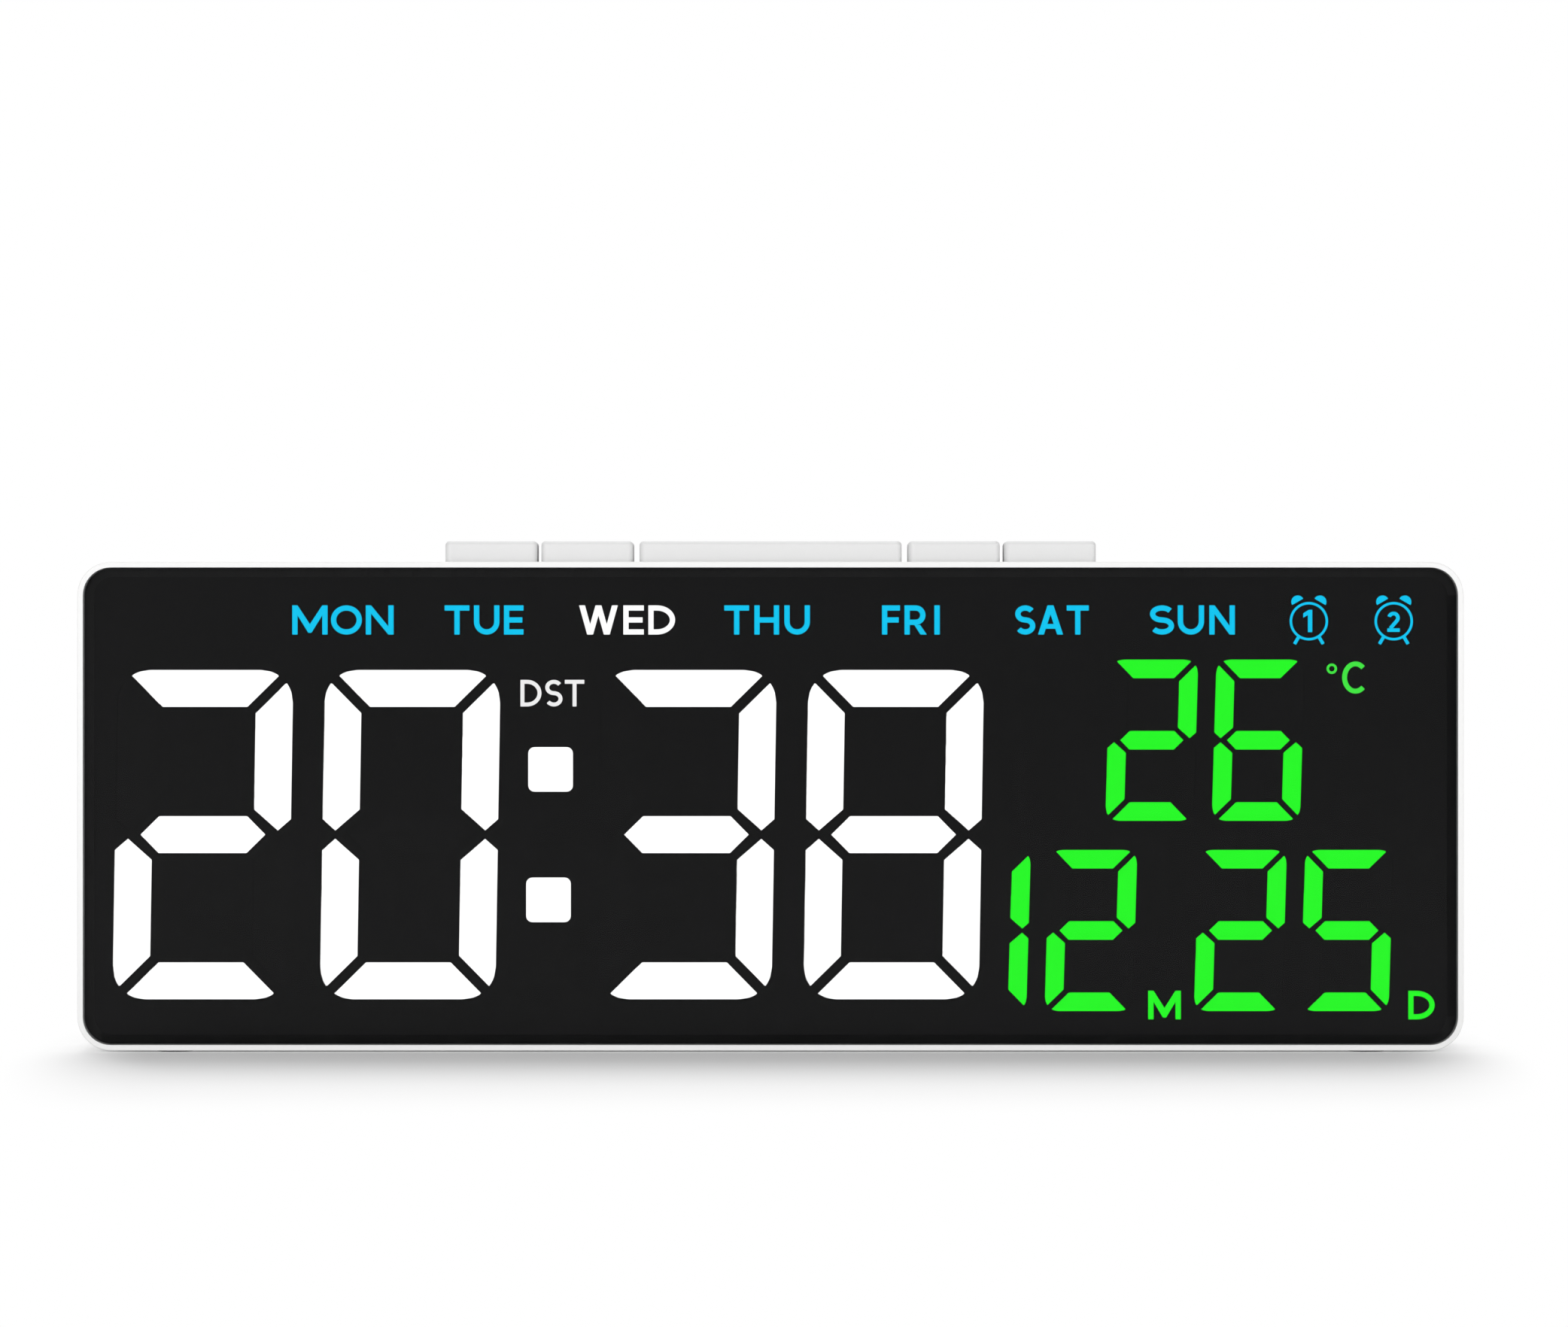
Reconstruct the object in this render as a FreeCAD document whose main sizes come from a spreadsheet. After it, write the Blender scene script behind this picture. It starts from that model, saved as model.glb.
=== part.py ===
import FreeCAD, Part
import math
import os
import re

import Sketcher

# A day clock: a white case with a smoked lens, a seven-segment display, five top buttons,
# a battery door and a folding stand at the back.
# X runs to the right, the front faces -Y and Z is up. The origin is on the table, under the middle.

V = FreeCAD.Vector

# Driving sizes, in millimetres. Everything else is worked out from these.
SIZES = {
    # digits of the time
    "big_digit_width": 33.0,
    "big_digit_height": 61.9,
    "big_stroke": 6.95,
    "big_gap": 1.65,
    "big_corner": 6.1,
    "big_slant": 0.016,
    # digits of the temperature and the date
    "small_digit_width": 16.6,
    "small_digit_height": 30.3,
    "small_stroke": 3.5,
    "small_gap": 0.8,
    "small_corner": 2.6,
    "small_slant": 0.029,
    # where a side segment ends beside the middle one
    "tip_share": 0.65,
    "tip_slope": 0.88,
    # how far the ends of the top and bottom segments stay back from the corners
    "bar_cut": 0.4,
    # display layout, across
    "left_margin": 5.88,
    "big_digit_pitch": 38.95,
    "minutes_offset": 51.9,
    "date_offset": 17.04,
    "small_digit_pitch": 20.0,
    "month_to_day": 28.1,
    "day_letter_offset": 13.66,
    "right_margin": 6.92,
    "month_letter_offset": 13.66,
    "temperature_offset": 11.45,
    "degree_offset": 16.08,
    "weekday_inset": 49.79,
    "alarm_inset": 29.1,
    "alarm_pitch": 15.94,
    # display layout, up
    "low_margin": 8.45,
    "weekday_gap": 6.47,
    "letter_height": 5.65,
    "top_margin": 7.13,
    "date_drop": 2.22,
    "temperature_rise": 1.94,
    "date_letter_lift": 1.25,
    "degree_rise": 11.8,
    "colon_rise": 12.26,
    "colon_shift": 0.15,
    "colon_side": 8.4,
    "colon_corner": 1.2,
    "summer_time_rise": 26.45,
    "summer_time_shift": 0.3,
    # sizes of the lettered windows
    "weekday_window_width": 21.0,
    "weekday_window_gap": 7.06,
    "weekday_window_height": 7.4,
    "alarm_window_width": 8.5,
    "alarm_window_height": 10.1,
    "summer_time_window_width": 13.1,
    "degree_window_width": 8.0,
    "date_letter_window_width": 6.0,
    "letter_window_height": 6.6,
    # case
    "case_depth": 28.0,
    "bezel": 1.05,
    "wall": 2.0,
    "case_corner": 6.3,
    "front_edge_round": 0.25,
    "rear_edge_round": 2.0,
    "frame_depth": 9.0,
    "ledge_width": 2.2,
    "ledge_thickness": 1.2,
    "lip_thickness": 1.0,
    "lip_length": 2.0,
    "lip_root": 0.6,
    "fit": 0.1,
    "clearance": 0.3,
    "foot_proud": 0.25,
    "foot_seat": 0.6,
    "foot_radius": 3.5,
    "foot_inset": 18.0,
    "front_foot_setback": 4.5,
    "rear_foot_setback": 6.0,
    # display stack, front to back
    "lens_inset": 0.2,
    "lens_thickness": 2.0,
    "tape_thickness": 0.15,
    "tape_width": 1.8,
    "mask_thickness": 0.25,
    "reflector_depth": 7.2,
    "reflector_skin": 1.5,
    "well_wall": 1.5,
    "well_margin": 0.15,
    "guide_depth": 3.0,
    "board_thickness": 1.6,
    "lamp_side": 2.0,
    "lamp_height": 1.1,
    # screws
    "rear_screw_inset": 21.2,
    "rear_screw_rise": 2.5,
    "rear_screw_radius": 1.15,
    "rear_screw_head_radius": 2.0,
    "rear_screw_head": 2.0,
    "rear_screw_depth": 2.4,
    "rear_screw_tip_gap": 1.5,
    "cross_slot_width": 0.5,
    "front_boss_radius": 2.1,
    "rear_boss_radius": 3.3,
    "small_screw_radius": 1.0,
    "small_screw_head_radius": 1.8,
    "small_screw_head": 1.2,
    "small_screw_length": 5.0,
    "small_boss_radius": 2.2,
    "reflector_screw_shift": 3.6,
    # buttons
    "button_width": 17.4,
    "button_gap": 0.8,
    "snooze_width": 49.7,
    "snooze_gap": 1.2,
    "button_depth": 10.0,
    "button_centre": 7.0,
    "button_proud": 4.1,
    "button_corner": 1.2,
    "button_edge_round": 0.8,
    "button_flange": 1.2,
    "button_flange_overhang": 1.1,
    "button_travel": 0.5,
    "switch_width": 6.2,
    "switch_depth": 7.0,
    "switch_height": 6.0,
    "plunger_radius": 1.2,
    "plunger_rise": 1.2,
    "rib_side": 3.0,
    "rib_length": 1.6,
    "board_notch_gap": 1.2,
    # stand
    "leg_width": 31.8,
    "leg_thickness": 3.0,
    "leg_length": 61.5,
    "leg_lift": 0.6,
    "leg_pad_height": 2.6,
    "leg_recess_depth": 3.6,
    "leg_recess_wall": 1.6,
    "leg_barrel_radius": 1.7,
    "leg_side_gap": 0.6,
    "leg_pin_radius": 1.0,
    "leg_pin_seat": 1.2,
    "leg_panel_depth": 0.8,
    "leg_panel_border": 5.0,
    # battery compartment
    "cell_radius": 5.25,
    "cell_length": 43.7,
    "cell_tip_radius": 1.9,
    "cell_tip_length": 0.8,
    "cell_gap": 0.8,
    "cell_round": 0.5,
    "contact_thickness": 0.4,
    "contact_gap": 0.2,
    "spring_length": 4.0,
    "spring_radius": 3.2,
    "spring_tip_radius": 2.0,
    "spring_wire_radius": 0.3,
    "spring_turns": 3.0,
    "tail_length": 3.2,
    "tail_width": 3.0,
    "bay_floor": 1.2,
    "bay_wall": 1.6,
    "bay_left": 46.5,
    "bay_rise": 32.8,
    "door_thickness": 1.6,
    "door_ledge": 1.2,
    "door_pin_radius": 0.6,
    "door_pin_length": 0.9,
    "door_rib_width": 1.2,
    "door_rib_length": 14.0,
    "door_rib_proud": 0.4,
    "thumb_notch_radius": 7.0,
    "thumb_notch_depth": 0.8,
    # wall keyholes
    "keyhole_spread": 60.0,
    "keyhole_rise": 69.5,
    "keyhole_entry_radius": 4.0,
    "keyhole_slot_radius": 2.0,
    "keyhole_travel": 8.0,
    "keyhole_pocket_depth": 5.0,
    "keyhole_pocket_wall": 1.4,
    # power inlet
    "inlet_left": 98.0,
    "inlet_rise": 17.5,
    "inlet_width": 8.94,
    "inlet_height": 3.16,
    "inlet_wall": 0.3,
    "inlet_length": 8.6,
    "inlet_base": 1.4,
    "inlet_tongue_width": 6.7,
    "inlet_tongue_thickness": 0.7,
    "inlet_board_width": 20.0,
    "inlet_board_height": 16.0,
    "inlet_board_corner": 1.2,
    "inlet_screw_spread": 7.5,
    "lead_radius": 0.8,
    # parts on the display board
    "buzzer_x": -84.0,
    "buzzer_rise": 59.5,
    "buzzer_radius": 6.0,
    "buzzer_height": 8.5,
    "buzzer_sound_radius": 1.0,
    "sound_hole_radius": 0.75,
    "sound_hole_circle": 3.2,
    "sensor_radius": 2.3,
    "sensor_height": 4.6,
    "sensor_inset": 10.0,
    "sensor_flat": 1.4,
    "vent_width": 1.4,
    "vent_height": 9.0,
    "vent_pitch": 3.4,
    "vent_rise": 12.0,
    "chip_left": 8.0,
    "chip_side": 12.0,
    "chip_height": 1.6,
    "pin_one_inset": 1.2,
    "pin_one_radius": 0.6,
    "driver_length": 12.8,
    "driver_width": 7.5,
    "driver_height": 2.3,
    "driver_offset": 8.0,
    "driver_pitch": 30.0,
    "crystal_length": 10.2,
    "crystal_width": 4.0,
    "crystal_height": 3.5,
    "capacitor_radius": 3.15,
    "capacitor_height": 7.5,
    "capacitor_left": 38.0,
    "capacitor_pitch": 10.0,
    "resistor_length": 1.6,
    "resistor_width": 0.8,
    "resistor_height": 0.5,
    "resistor_left": 48.0,
    "resistor_pitch": 4.0,
    "resistor_row_gap": 7.5,
    "connector_width": 6.0,
    "connector_height": 7.4,
    "connector_depth": 5.0,
    "connector_gap": 20.0,
    "connector_drop": 3.0,
}

# Places that follow from the sizes, each as an expression of sizes and of other places.
PLACES = {
    "case_width": "2 * bezel + left_margin + big_digit_width / 2 + 2 * big_digit_pitch + minutes_offset"
                  " + date_offset + 2 * small_digit_pitch + month_to_day + day_letter_offset + right_margin",
    "case_height": "2 * bezel + low_margin + big_digit_height + weekday_gap + letter_height + top_margin",
    "side": "case_width / 2",
    "low": "foot_proud",
    "high": "foot_proud + case_height",
    "front": "-case_depth / 2",
    "back": "case_depth / 2",
    "seam": "front + frame_depth",
    "rear_wall": "back - wall",
    # display stack
    "lens_front": "front + lens_inset",
    "lens_back": "lens_front + lens_thickness",
    "mask_front": "lens_back + tape_thickness",
    "mask_back": "mask_front + mask_thickness",
    "board_front": "mask_back + reflector_depth",
    "board_back": "board_front + board_thickness",
    "ledge_back": "mask_back + ledge_thickness",
    "ledge": "bezel + ledge_width",
    "lip_inner": "wall + fit + lip_thickness",
    # digits, across
    "hours_tens_x": "-side + bezel + left_margin + big_digit_width / 2",
    "hours_units_x": "hours_tens_x + big_digit_pitch",
    "minutes_tens_x": "hours_units_x + minutes_offset",
    "minutes_units_x": "minutes_tens_x + big_digit_pitch",
    "month_tens_x": "minutes_units_x + date_offset",
    "month_units_x": "month_tens_x + small_digit_pitch",
    "day_tens_x": "month_units_x + month_to_day",
    "day_units_x": "day_tens_x + small_digit_pitch",
    "temperature_tens_x": "month_units_x + temperature_offset",
    "temperature_units_x": "temperature_tens_x + small_digit_pitch",
    "colon_x": "(hours_units_x + minutes_tens_x) / 2 + colon_shift",
    "alarm_x": "side - alarm_inset",
    "monday_x": "-side + weekday_inset",
    "sunday_x": "alarm_x - (alarm_window_width + weekday_window_width) / 2 - weekday_window_gap",
    "weekday_pitch": "(sunday_x - monday_x) / 6",
    # digits, up
    "big_z": "low + bezel + low_margin + big_digit_height / 2",
    "big_low": "big_z - big_digit_height / 2",
    "big_high": "big_z + big_digit_height / 2",
    "date_z": "big_low + small_digit_height / 2 - date_drop",
    "temperature_z": "big_high - small_digit_height / 2 + temperature_rise",
    "weekday_z": "big_high + weekday_gap + letter_height / 2",
    "date_letter_z": "date_z - small_digit_height / 2 + date_letter_lift",
    # screws
    "rear_screw_x": "side - rear_screw_inset",
    "rear_screw_low": "low + rear_edge_round + rear_screw_rise",
    "rear_screw_high": "high - rear_edge_round - rear_screw_rise",
    "rear_screw_top": "back - rear_screw_depth",
    "rear_screw_tip": "mask_back + rear_screw_tip_gap",
    # buttons
    "button_first": "snooze_width / 2 + snooze_gap + button_width / 2",
    "button_pitch": "button_width + button_gap",
    "button_back": "seam + button_centre + button_depth / 2",
    "button_front": "seam + button_centre - button_depth / 2",
    "button_seat": "high - wall",
    "flange_low": "button_seat - button_flange",
    "rib_low": "flange_low - rib_length",
    "switch_y": "board_back + switch_depth / 2",
    "switch_high": "rib_low - plunger_rise",
    # stand
    "leg_axis_y": "back - leg_barrel_radius",
    "leg_axis_z": "low + leg_lift + leg_length",
    "leg_front": "leg_axis_y - leg_thickness / 2",
    "leg_back": "leg_axis_y + leg_thickness / 2",
    "leg_recess_floor": "back - leg_recess_depth",
    "leg_recess_top": "leg_axis_z + leg_barrel_radius + leg_side_gap",
    "leg_recess_side": "leg_width / 2 + leg_side_gap",
    # battery compartment
    "bay_right": "bay_left + 2 * contact_thickness + contact_gap + spring_length + cell_length"
                 " + cell_tip_length",
    "bay_low": "low + bay_rise",
    "bay_high": "bay_low + 4 * cell_radius + cell_gap + 2 * clearance",
    "bay_front": "cell_y - cell_radius - clearance - bay_floor",
    "cell_y": "back - door_thickness - clearance - clearance / 2 - cell_radius",
    "lower_cell_z": "bay_low + clearance + cell_radius",
    "upper_cell_z": "bay_high - clearance - cell_radius",
    "door_axis_y": "back - door_thickness / 2",
    "door_axis_z": "door_low + door_thickness / 2",
    "door_low": "bay_low - door_ledge + clearance",
    "door_high": "bay_high + door_ledge - clearance",
    "door_left": "bay_left - door_ledge + clearance",
    "door_right": "bay_right + door_ledge - clearance",
    "door_ledge_y": "back - door_thickness - clearance / 2",
    # wall keyholes
    "keyhole_z": "low + keyhole_rise",
    "keyhole_side": "keyhole_entry_radius + clearance * 2",
    "keyhole_floor": "rear_wall - keyhole_pocket_depth",
    # power inlet
    "inlet_z": "low + inlet_rise",
    "inlet_board_back": "back - inlet_length - clearance",
    "inlet_board_front": "inlet_board_back - board_thickness",
    # temperature sensor
    "sensor_x": "side - wall - sensor_inset",
    "sensor_z": "low + vent_rise + vent_height / 2",
    # electronics
    "board_margin": "lip_inner + clearance",
    "chip_x": "-chip_left",
    "power_connector_x": "-inlet_left + inlet_board_width / 2 + connector_gap",
    "power_connector_z": "inlet_z - connector_drop",
    "battery_connector_x": "bay_left - bay_wall - connector_gap",
    "battery_connector_z": "(lower_cell_z + upper_cell_z) / 2",
    "first_driver_x": "power_connector_x + driver_offset",
    "buzzer_z": "low + buzzer_rise",
    "resistor_z": "date_z + driver_width / 2 + resistor_row_gap",
}

# Seven-segment digits: name, centre across, centre up, family of sizes and the segments it has.
DIGITS = (
    ("hours_tens", "hours_tens_x", "big_z", "big", "abcdefg"),
    ("hours_units", "hours_units_x", "big_z", "big", "abcdefg"),
    ("minutes_tens", "minutes_tens_x", "big_z", "big", "abcdefg"),
    ("minutes_units", "minutes_units_x", "big_z", "big", "abcdefg"),
    ("temperature_tens", "temperature_tens_x", "temperature_z", "small", "abcdefg"),
    ("temperature_units", "temperature_units_x", "temperature_z", "small", "abcdefg"),
    ("month_tens", "month_tens_x", "date_z", "small", "bc"),
    ("month_units", "month_units_x", "date_z", "small", "abcdefg"),
    ("day_tens", "day_tens_x", "date_z", "small", "abcdefg"),
    ("day_units", "day_units_x", "date_z", "small", "abcdefg"),
)

# Lettered windows: centre across, centre up, width and height.
WEEKDAY_WINDOWS = tuple(
    (f"monday_x + {day} * weekday_pitch", "weekday_z", "weekday_window_width",
     "weekday_window_height")
    for day in range(7)
)
ALARM_WINDOWS = tuple(
    (f"alarm_x + {number} * alarm_pitch", "weekday_z", "alarm_window_width",
     "alarm_window_height")
    for number in range(2)
)
SUMMER_TIME_WINDOW = ("colon_x + summer_time_shift", "big_z + summer_time_rise",
                      "summer_time_window_width", "letter_window_height")
GREEN_WINDOWS = (
    ("temperature_units_x + degree_offset", "temperature_z + degree_rise", "degree_window_width",
     "letter_window_height"),
    ("month_units_x + month_letter_offset", "date_letter_z", "date_letter_window_width",
     "letter_window_height"),
    ("day_units_x + day_letter_offset", "date_letter_z", "date_letter_window_width",
     "letter_window_height"),
)
INDICATOR_WINDOWS = ALARM_WINDOWS + (SUMMER_TIME_WINDOW,) + GREEN_WINDOWS

# Top buttons: name, centre across and width.
BUTTONS = (
    ("set", "-button_first - button_pitch", "button_width"),
    ("up", "-button_first", "button_width"),
    ("snooze", "0", "snooze_width"),
    ("down", "button_first", "button_width"),
    ("alarm", "button_first + button_pitch", "button_width"),
)

# Screws that hold the reflector to the board, clear of every window: across and up.
REFLECTOR_SCREWS = (
    ("hours_tens_x", "weekday_z"),
    ("colon_x", "big_z"),
    ("(minutes_units_x + temperature_tens_x) / 2 + reflector_screw_shift", "temperature_z"),
    ("temperature_units_x + degree_offset + letter_height", "temperature_z - letter_height"),
)

doc = FreeCAD.newDocument("DayClock")
sheet = doc.addObject("Spreadsheet::Sheet", "Sizes")
for row, (size_name, size_value) in enumerate(SIZES.items(), 1):
    sheet.set(f"A{row}", size_name.replace("_", " "))
    sheet.set(f"B{row}", str(size_value))
    sheet.setAlias(f"B{row}", size_name)
doc.recompute()

nodes = []


def expand(text, prefix="Sizes."):
    """Write an expression in sheet cells: places are opened out and cells get the sheet's name."""
    def swap(match):
        word = match.group(0)
        if word in PLACES:
            return "(" + expand(PLACES[word], prefix) + ")"
        return prefix + word if word in SIZES else word
    return re.sub(r"[a-z_]+", swap, text)


def value(text):
    """The number that an expression has now."""
    return float(sheet.evalExpression(expand(text, "")))


def new_body(label, is_node=True):
    """A PartDesign body of its own; a node is a piece that is written out."""
    body = doc.addObject("PartDesign::Body", label)
    body.Label = label
    body.AllowCompound = True
    if is_node:
        nodes.append(body)
    return body


def tie(sketch, constraint, text):
    """Add a dimension to a sketch and bind it to the sheet."""
    index = sketch.addConstraint(constraint)
    sketch.setExpression(f"Constraints[{index}]", expand(text))


class Rectangle:
    """A rectangle between four sides, with round corners where a corner radius is given."""

    def __init__(self, left, right, low, high, corner=None):
        self.sides = (left, right, low, high)
        self.corner = corner

    def draw(self, sketch):
        left, right, low, high = (value(side) for side in self.sides)
        radius = value(self.corner) if self.corner else 0.0
        lines = sketch.addGeometry([
            Part.LineSegment(V(left + radius, low), V(right - radius, low)),
            Part.LineSegment(V(right, low + radius), V(right, high - radius)),
            Part.LineSegment(V(right - radius, high), V(left + radius, high)),
            Part.LineSegment(V(left, high - radius), V(left, low + radius)),
        ])
        sketch.addConstraint([Sketcher.Constraint(kind, line) for kind, line in
                              zip(("Horizontal", "Vertical", "Horizontal", "Vertical"), lines)])
        if self.corner:
            centres = ((right - radius, low + radius), (right - radius, high - radius),
                       (left + radius, high - radius), (left + radius, low + radius))
            arcs = []
            for turn, (x, y) in enumerate(centres):
                circle = Part.Circle(V(x, y), V(0, 0, 1), radius)
                start = (turn - 1) * math.pi / 2
                arcs.append(sketch.addGeometry(Part.ArcOfCircle(circle, start, start + math.pi / 2)))
            for turn, arc in enumerate(arcs):
                sketch.addConstraint([
                    Sketcher.Constraint("Tangent", lines[turn], 2, arc, 1),
                    Sketcher.Constraint("Tangent", arc, 2, lines[(turn + 1) % 4], 1),
                ])
            sketch.addConstraint([Sketcher.Constraint("Equal", arcs[0], arc) for arc in arcs[1:]])
            tie(sketch, Sketcher.Constraint("Radius", arcs[0], radius), self.corner)
        else:
            sketch.addConstraint([Sketcher.Constraint("Coincident", lines[turn], 2, lines[(turn + 1) % 4], 1)
                                  for turn in range(4)])
        tie(sketch, Sketcher.Constraint("DistanceX", -1, 1, lines[3], 1, left), self.sides[0])
        tie(sketch, Sketcher.Constraint("DistanceX", -1, 1, lines[1], 1, right), self.sides[1])
        tie(sketch, Sketcher.Constraint("DistanceY", -1, 1, lines[0], 1, low), self.sides[2])
        tie(sketch, Sketcher.Constraint("DistanceY", -1, 1, lines[2], 1, high), self.sides[3])


class Circle:
    """A circle about a point."""

    def __init__(self, across, up, radius):
        self.centre = (across, up)
        self.radius = radius

    def draw(self, sketch):
        across, up = (value(place) for place in self.centre)
        radius = value(self.radius)
        ring = sketch.addGeometry(Part.Circle(V(across, up), V(0, 0, 1), radius))
        tie(sketch, Sketcher.Constraint("DistanceX", -1, 1, ring, 3, across), self.centre[0])
        tie(sketch, Sketcher.Constraint("DistanceY", -1, 1, ring, 3, up), self.centre[1])
        tie(sketch, Sketcher.Constraint("Radius", ring, radius), self.radius)


def case_outline(inset, corner):
    """The case's rounded outline, drawn in by an inset."""
    return Rectangle(f"-side + ({inset})", f"side - ({inset})", f"low + ({inset})", f"high - ({inset})",
                     corner)


def centred(across, up, width, height, corner=None):
    """A rectangle about a point."""
    return Rectangle(f"{across} - ({width}) / 2", f"{across} + ({width}) / 2",
                     f"{up} - ({height}) / 2", f"{up} + ({height}) / 2", corner)


def slab(body, name, plane, start, end, outlines, cut=False):
    """Pad the outlines from start to end along the plane's axis, or cut that slab out of the body."""
    sketch = body.newObject("Sketcher::SketchObject", name + "_outline")
    sketch.AttachmentSupport = [(next(item for item in body.Origin.OriginFeatures
                                      if item.Role == plane + "_Plane"), "")]
    sketch.MapMode = "FlatFace"
    # The XZ plane looks along -Y and the other two along +X and +Z; a pocket cuts against that direction.
    looks_back = plane == "XZ"
    at = end if looks_back != cut else start
    sketch.setExpression("AttachmentOffset.Base.z", expand(f"-({at})" if looks_back else at))
    for outline in outlines:
        outline.draw(sketch)
    feature = body.newObject("PartDesign::Pocket" if cut else "PartDesign::Pad", name)
    feature.Profile = sketch
    feature.setExpression("Length", expand(f"({end}) - ({start})"))
    return feature


def round_edges(body, name, radius, chosen):
    """Fillet the edges of the body's last feature that a test picks."""
    doc.recompute()
    base = body.Tip
    feature = body.newObject("PartDesign::Fillet", name)
    feature.Base = (base, [f"Edge{index}" for index, edge in enumerate(base.Shape.Edges, 1) if chosen(edge)])
    feature.setExpression("Radius", expand(radius))
    return feature


def lies_at(axis, place):
    """A test for edges that lie whole in one plane across an axis."""
    level = value(place)

    def test(edge):
        box = edge.BoundBox
        limits = {"x": (box.XMin, box.XMax), "y": (box.YMin, box.YMax), "z": (box.ZMin, box.ZMax)}[axis]
        return max(abs(limits[0] - level), abs(limits[1] - level)) < 1e-6
    return test


def part_feature(label, shape, is_node=True, placement=FreeCAD.Placement()):
    """A shape that the code below works out from the sheet, as an object of the document."""
    feature = doc.addObject("Part::Feature", label)
    feature.Label = label
    feature.Shape = shape
    feature.Placement = placement
    if is_node:
        nodes.append(feature)
    return feature


def boolean(kind, label, base, tool, is_node=True):
    """A cut or a fuse of two objects of the document."""
    feature = doc.addObject("Part::" + kind, label)
    feature.Label = label
    feature.Base = base
    feature.Tool = tool
    if is_node:
        nodes.append(feature)
    return feature


# ---- seven-segment shapes -------------------------------------------------------------------------

def prism(corners, front, back):
    """A straight-sided solid between two depths, from corners across and up."""
    points = [V(x, front, z) for x, z in corners]
    return Part.Face(Part.makePolygon(points + points[:1])).extrude(V(0, back - front, 0))


def segment_corners(family, grow):
    """Corners of the seven segments, upright and about the digit's centre, each side moved out by grow."""
    half_width = value(f"{family}_digit_width") / 2 + grow
    half_height = value(f"{family}_digit_height") / 2 + grow
    stroke = value(f"{family}_stroke") + 2 * grow
    gap = value(f"{family}_gap") - 2 * grow
    tip_share = value("tip_share")
    slope = value("tip_slope")
    bevel = gap / math.sqrt(2)
    inner = half_width - stroke
    tip_x = inner + tip_share * stroke
    tip_z = bevel * tip_share
    point = tip_x - gap * math.sqrt(2)
    flat = point - stroke / 2
    cut = bevel + value("bar_cut")
    top = [(cut - half_width, half_height), (half_width - cut, half_height),
           (inner - cut, half_height - stroke), (cut - inner, half_height - stroke)]
    right = [(half_width, half_height - bevel), (inner, half_height - stroke - bevel),
             (inner, tip_z + slope * tip_share * stroke), (tip_x, tip_z),
             (half_width, tip_z + slope * (1 - tip_share) * stroke)]
    middle = [(point, 0), (flat, stroke / 2), (-flat, stroke / 2), (-point, 0),
              (-flat, -stroke / 2), (flat, -stroke / 2)]

    def flip(corners, across, up):
        return [(x * across, z * up) for x, z in corners]
    return {"a": top, "b": right, "c": flip(right, 1, -1), "d": flip(top, 1, -1),
            "e": flip(right, -1, -1), "f": flip(right, -1, 1), "g": middle}


def digit_block(across, up, family, grow, front, back):
    """A digit's whole leaning outline with its round corners, as one solid."""
    centre_x, centre_z, lean = value(across), value(up), value(f"{family}_slant")
    half_width = value(f"{family}_digit_width") / 2 + grow
    half_height = value(f"{family}_digit_height") / 2 + grow
    corners = [(centre_x + side * half_width + lean * end * half_height, centre_z + end * half_height)
               for side, end in ((-1, -1), (1, -1), (1, 1), (-1, 1))]
    block = prism(corners, front, back)
    upright = [edge for edge in block.Edges if abs(edge.BoundBox.YLength - (back - front)) < 1e-6]
    return block.makeFillet(value(f"{family}_corner") + grow, upright)


def digit_segments(digit, grow, front, back):
    """The segments of one digit as solids."""
    name, across, up, family, letters = digit
    centre_x, centre_z, lean = value(across), value(up), value(f"{family}_slant")
    block = digit_block(across, up, family, grow, front, back)
    solids = []
    for letter, corners in segment_corners(family, grow).items():
        if letter in letters:
            leaning = [(centre_x + x + lean * z, centre_z + z) for x, z in corners]
            solids.extend(prism(leaning, front, back).common(block).Solids)
    return solids


def window_solid(window, grow, front, back):
    """A lettered window as a solid."""
    across, up, width, height = (value(text) for text in window)
    size = V(width + 2 * grow, back - front, height + 2 * grow)
    return Part.makeBox(size.x, size.y, size.z, V(across - size.x / 2, front, up - size.z / 2))


def colon_solids(grow, front, back):
    """The two rounded squares of the colon."""
    half = value("colon_side") / 2 + grow
    solids = []
    for side in (-1, 1):
        up = value("big_z") + side * value("colon_rise")
        across = value("colon_x") + value("big_slant") * side * value("colon_rise")
        block = prism([(across - half, up - half), (across + half, up - half),
                       (across + half, up + half), (across - half, up + half)], front, back)
        upright = [edge for edge in block.Edges if abs(edge.BoundBox.YLength - (back - front)) < 1e-6]
        solids.append(block.makeFillet(value("colon_corner") + grow, upright))
    return solids


# ---- front frame ----------------------------------------------------------------------------------

REAR_SCREWS = [(x, z) for x in ("-rear_screw_x", "rear_screw_x")
               for z in ("rear_screw_low", "rear_screw_high")]
INLET_SCREWS = [(f"-inlet_left + {side} * inlet_screw_spread", "inlet_z") for side in (-1, 1)]
FEET_X = ("-side + foot_inset", "side - foot_inset")

front_frame = new_body("front_frame")
slab(front_frame, "Shell", "XZ", "front", "seam", [case_outline("0", "case_corner")])
round_edges(front_frame, "Front_edge", "front_edge_round", lies_at("y", "front"))
slab(front_frame, "Lens_seat", "XZ", "front", "mask_back",
     [case_outline("bezel", "case_corner - bezel")], True)
slab(front_frame, "Display_opening", "XZ", "mask_back", "ledge_back",
     [case_outline("ledge", "case_corner - ledge")], True)
slab(front_frame, "Cavity", "XZ", "ledge_back", "seam", [case_outline("wall", "case_corner - wall")], True)
slab(front_frame, "Screw_bosses", "XZ", "mask_back", "board_front",
     [Circle(x, z, "front_boss_radius") for x, z in REAR_SCREWS])
slab(front_frame, "Screw_holes", "XZ", "rear_screw_tip", "board_front",
     [Circle(x, z, "rear_screw_radius") for x, z in REAR_SCREWS], True)
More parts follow.
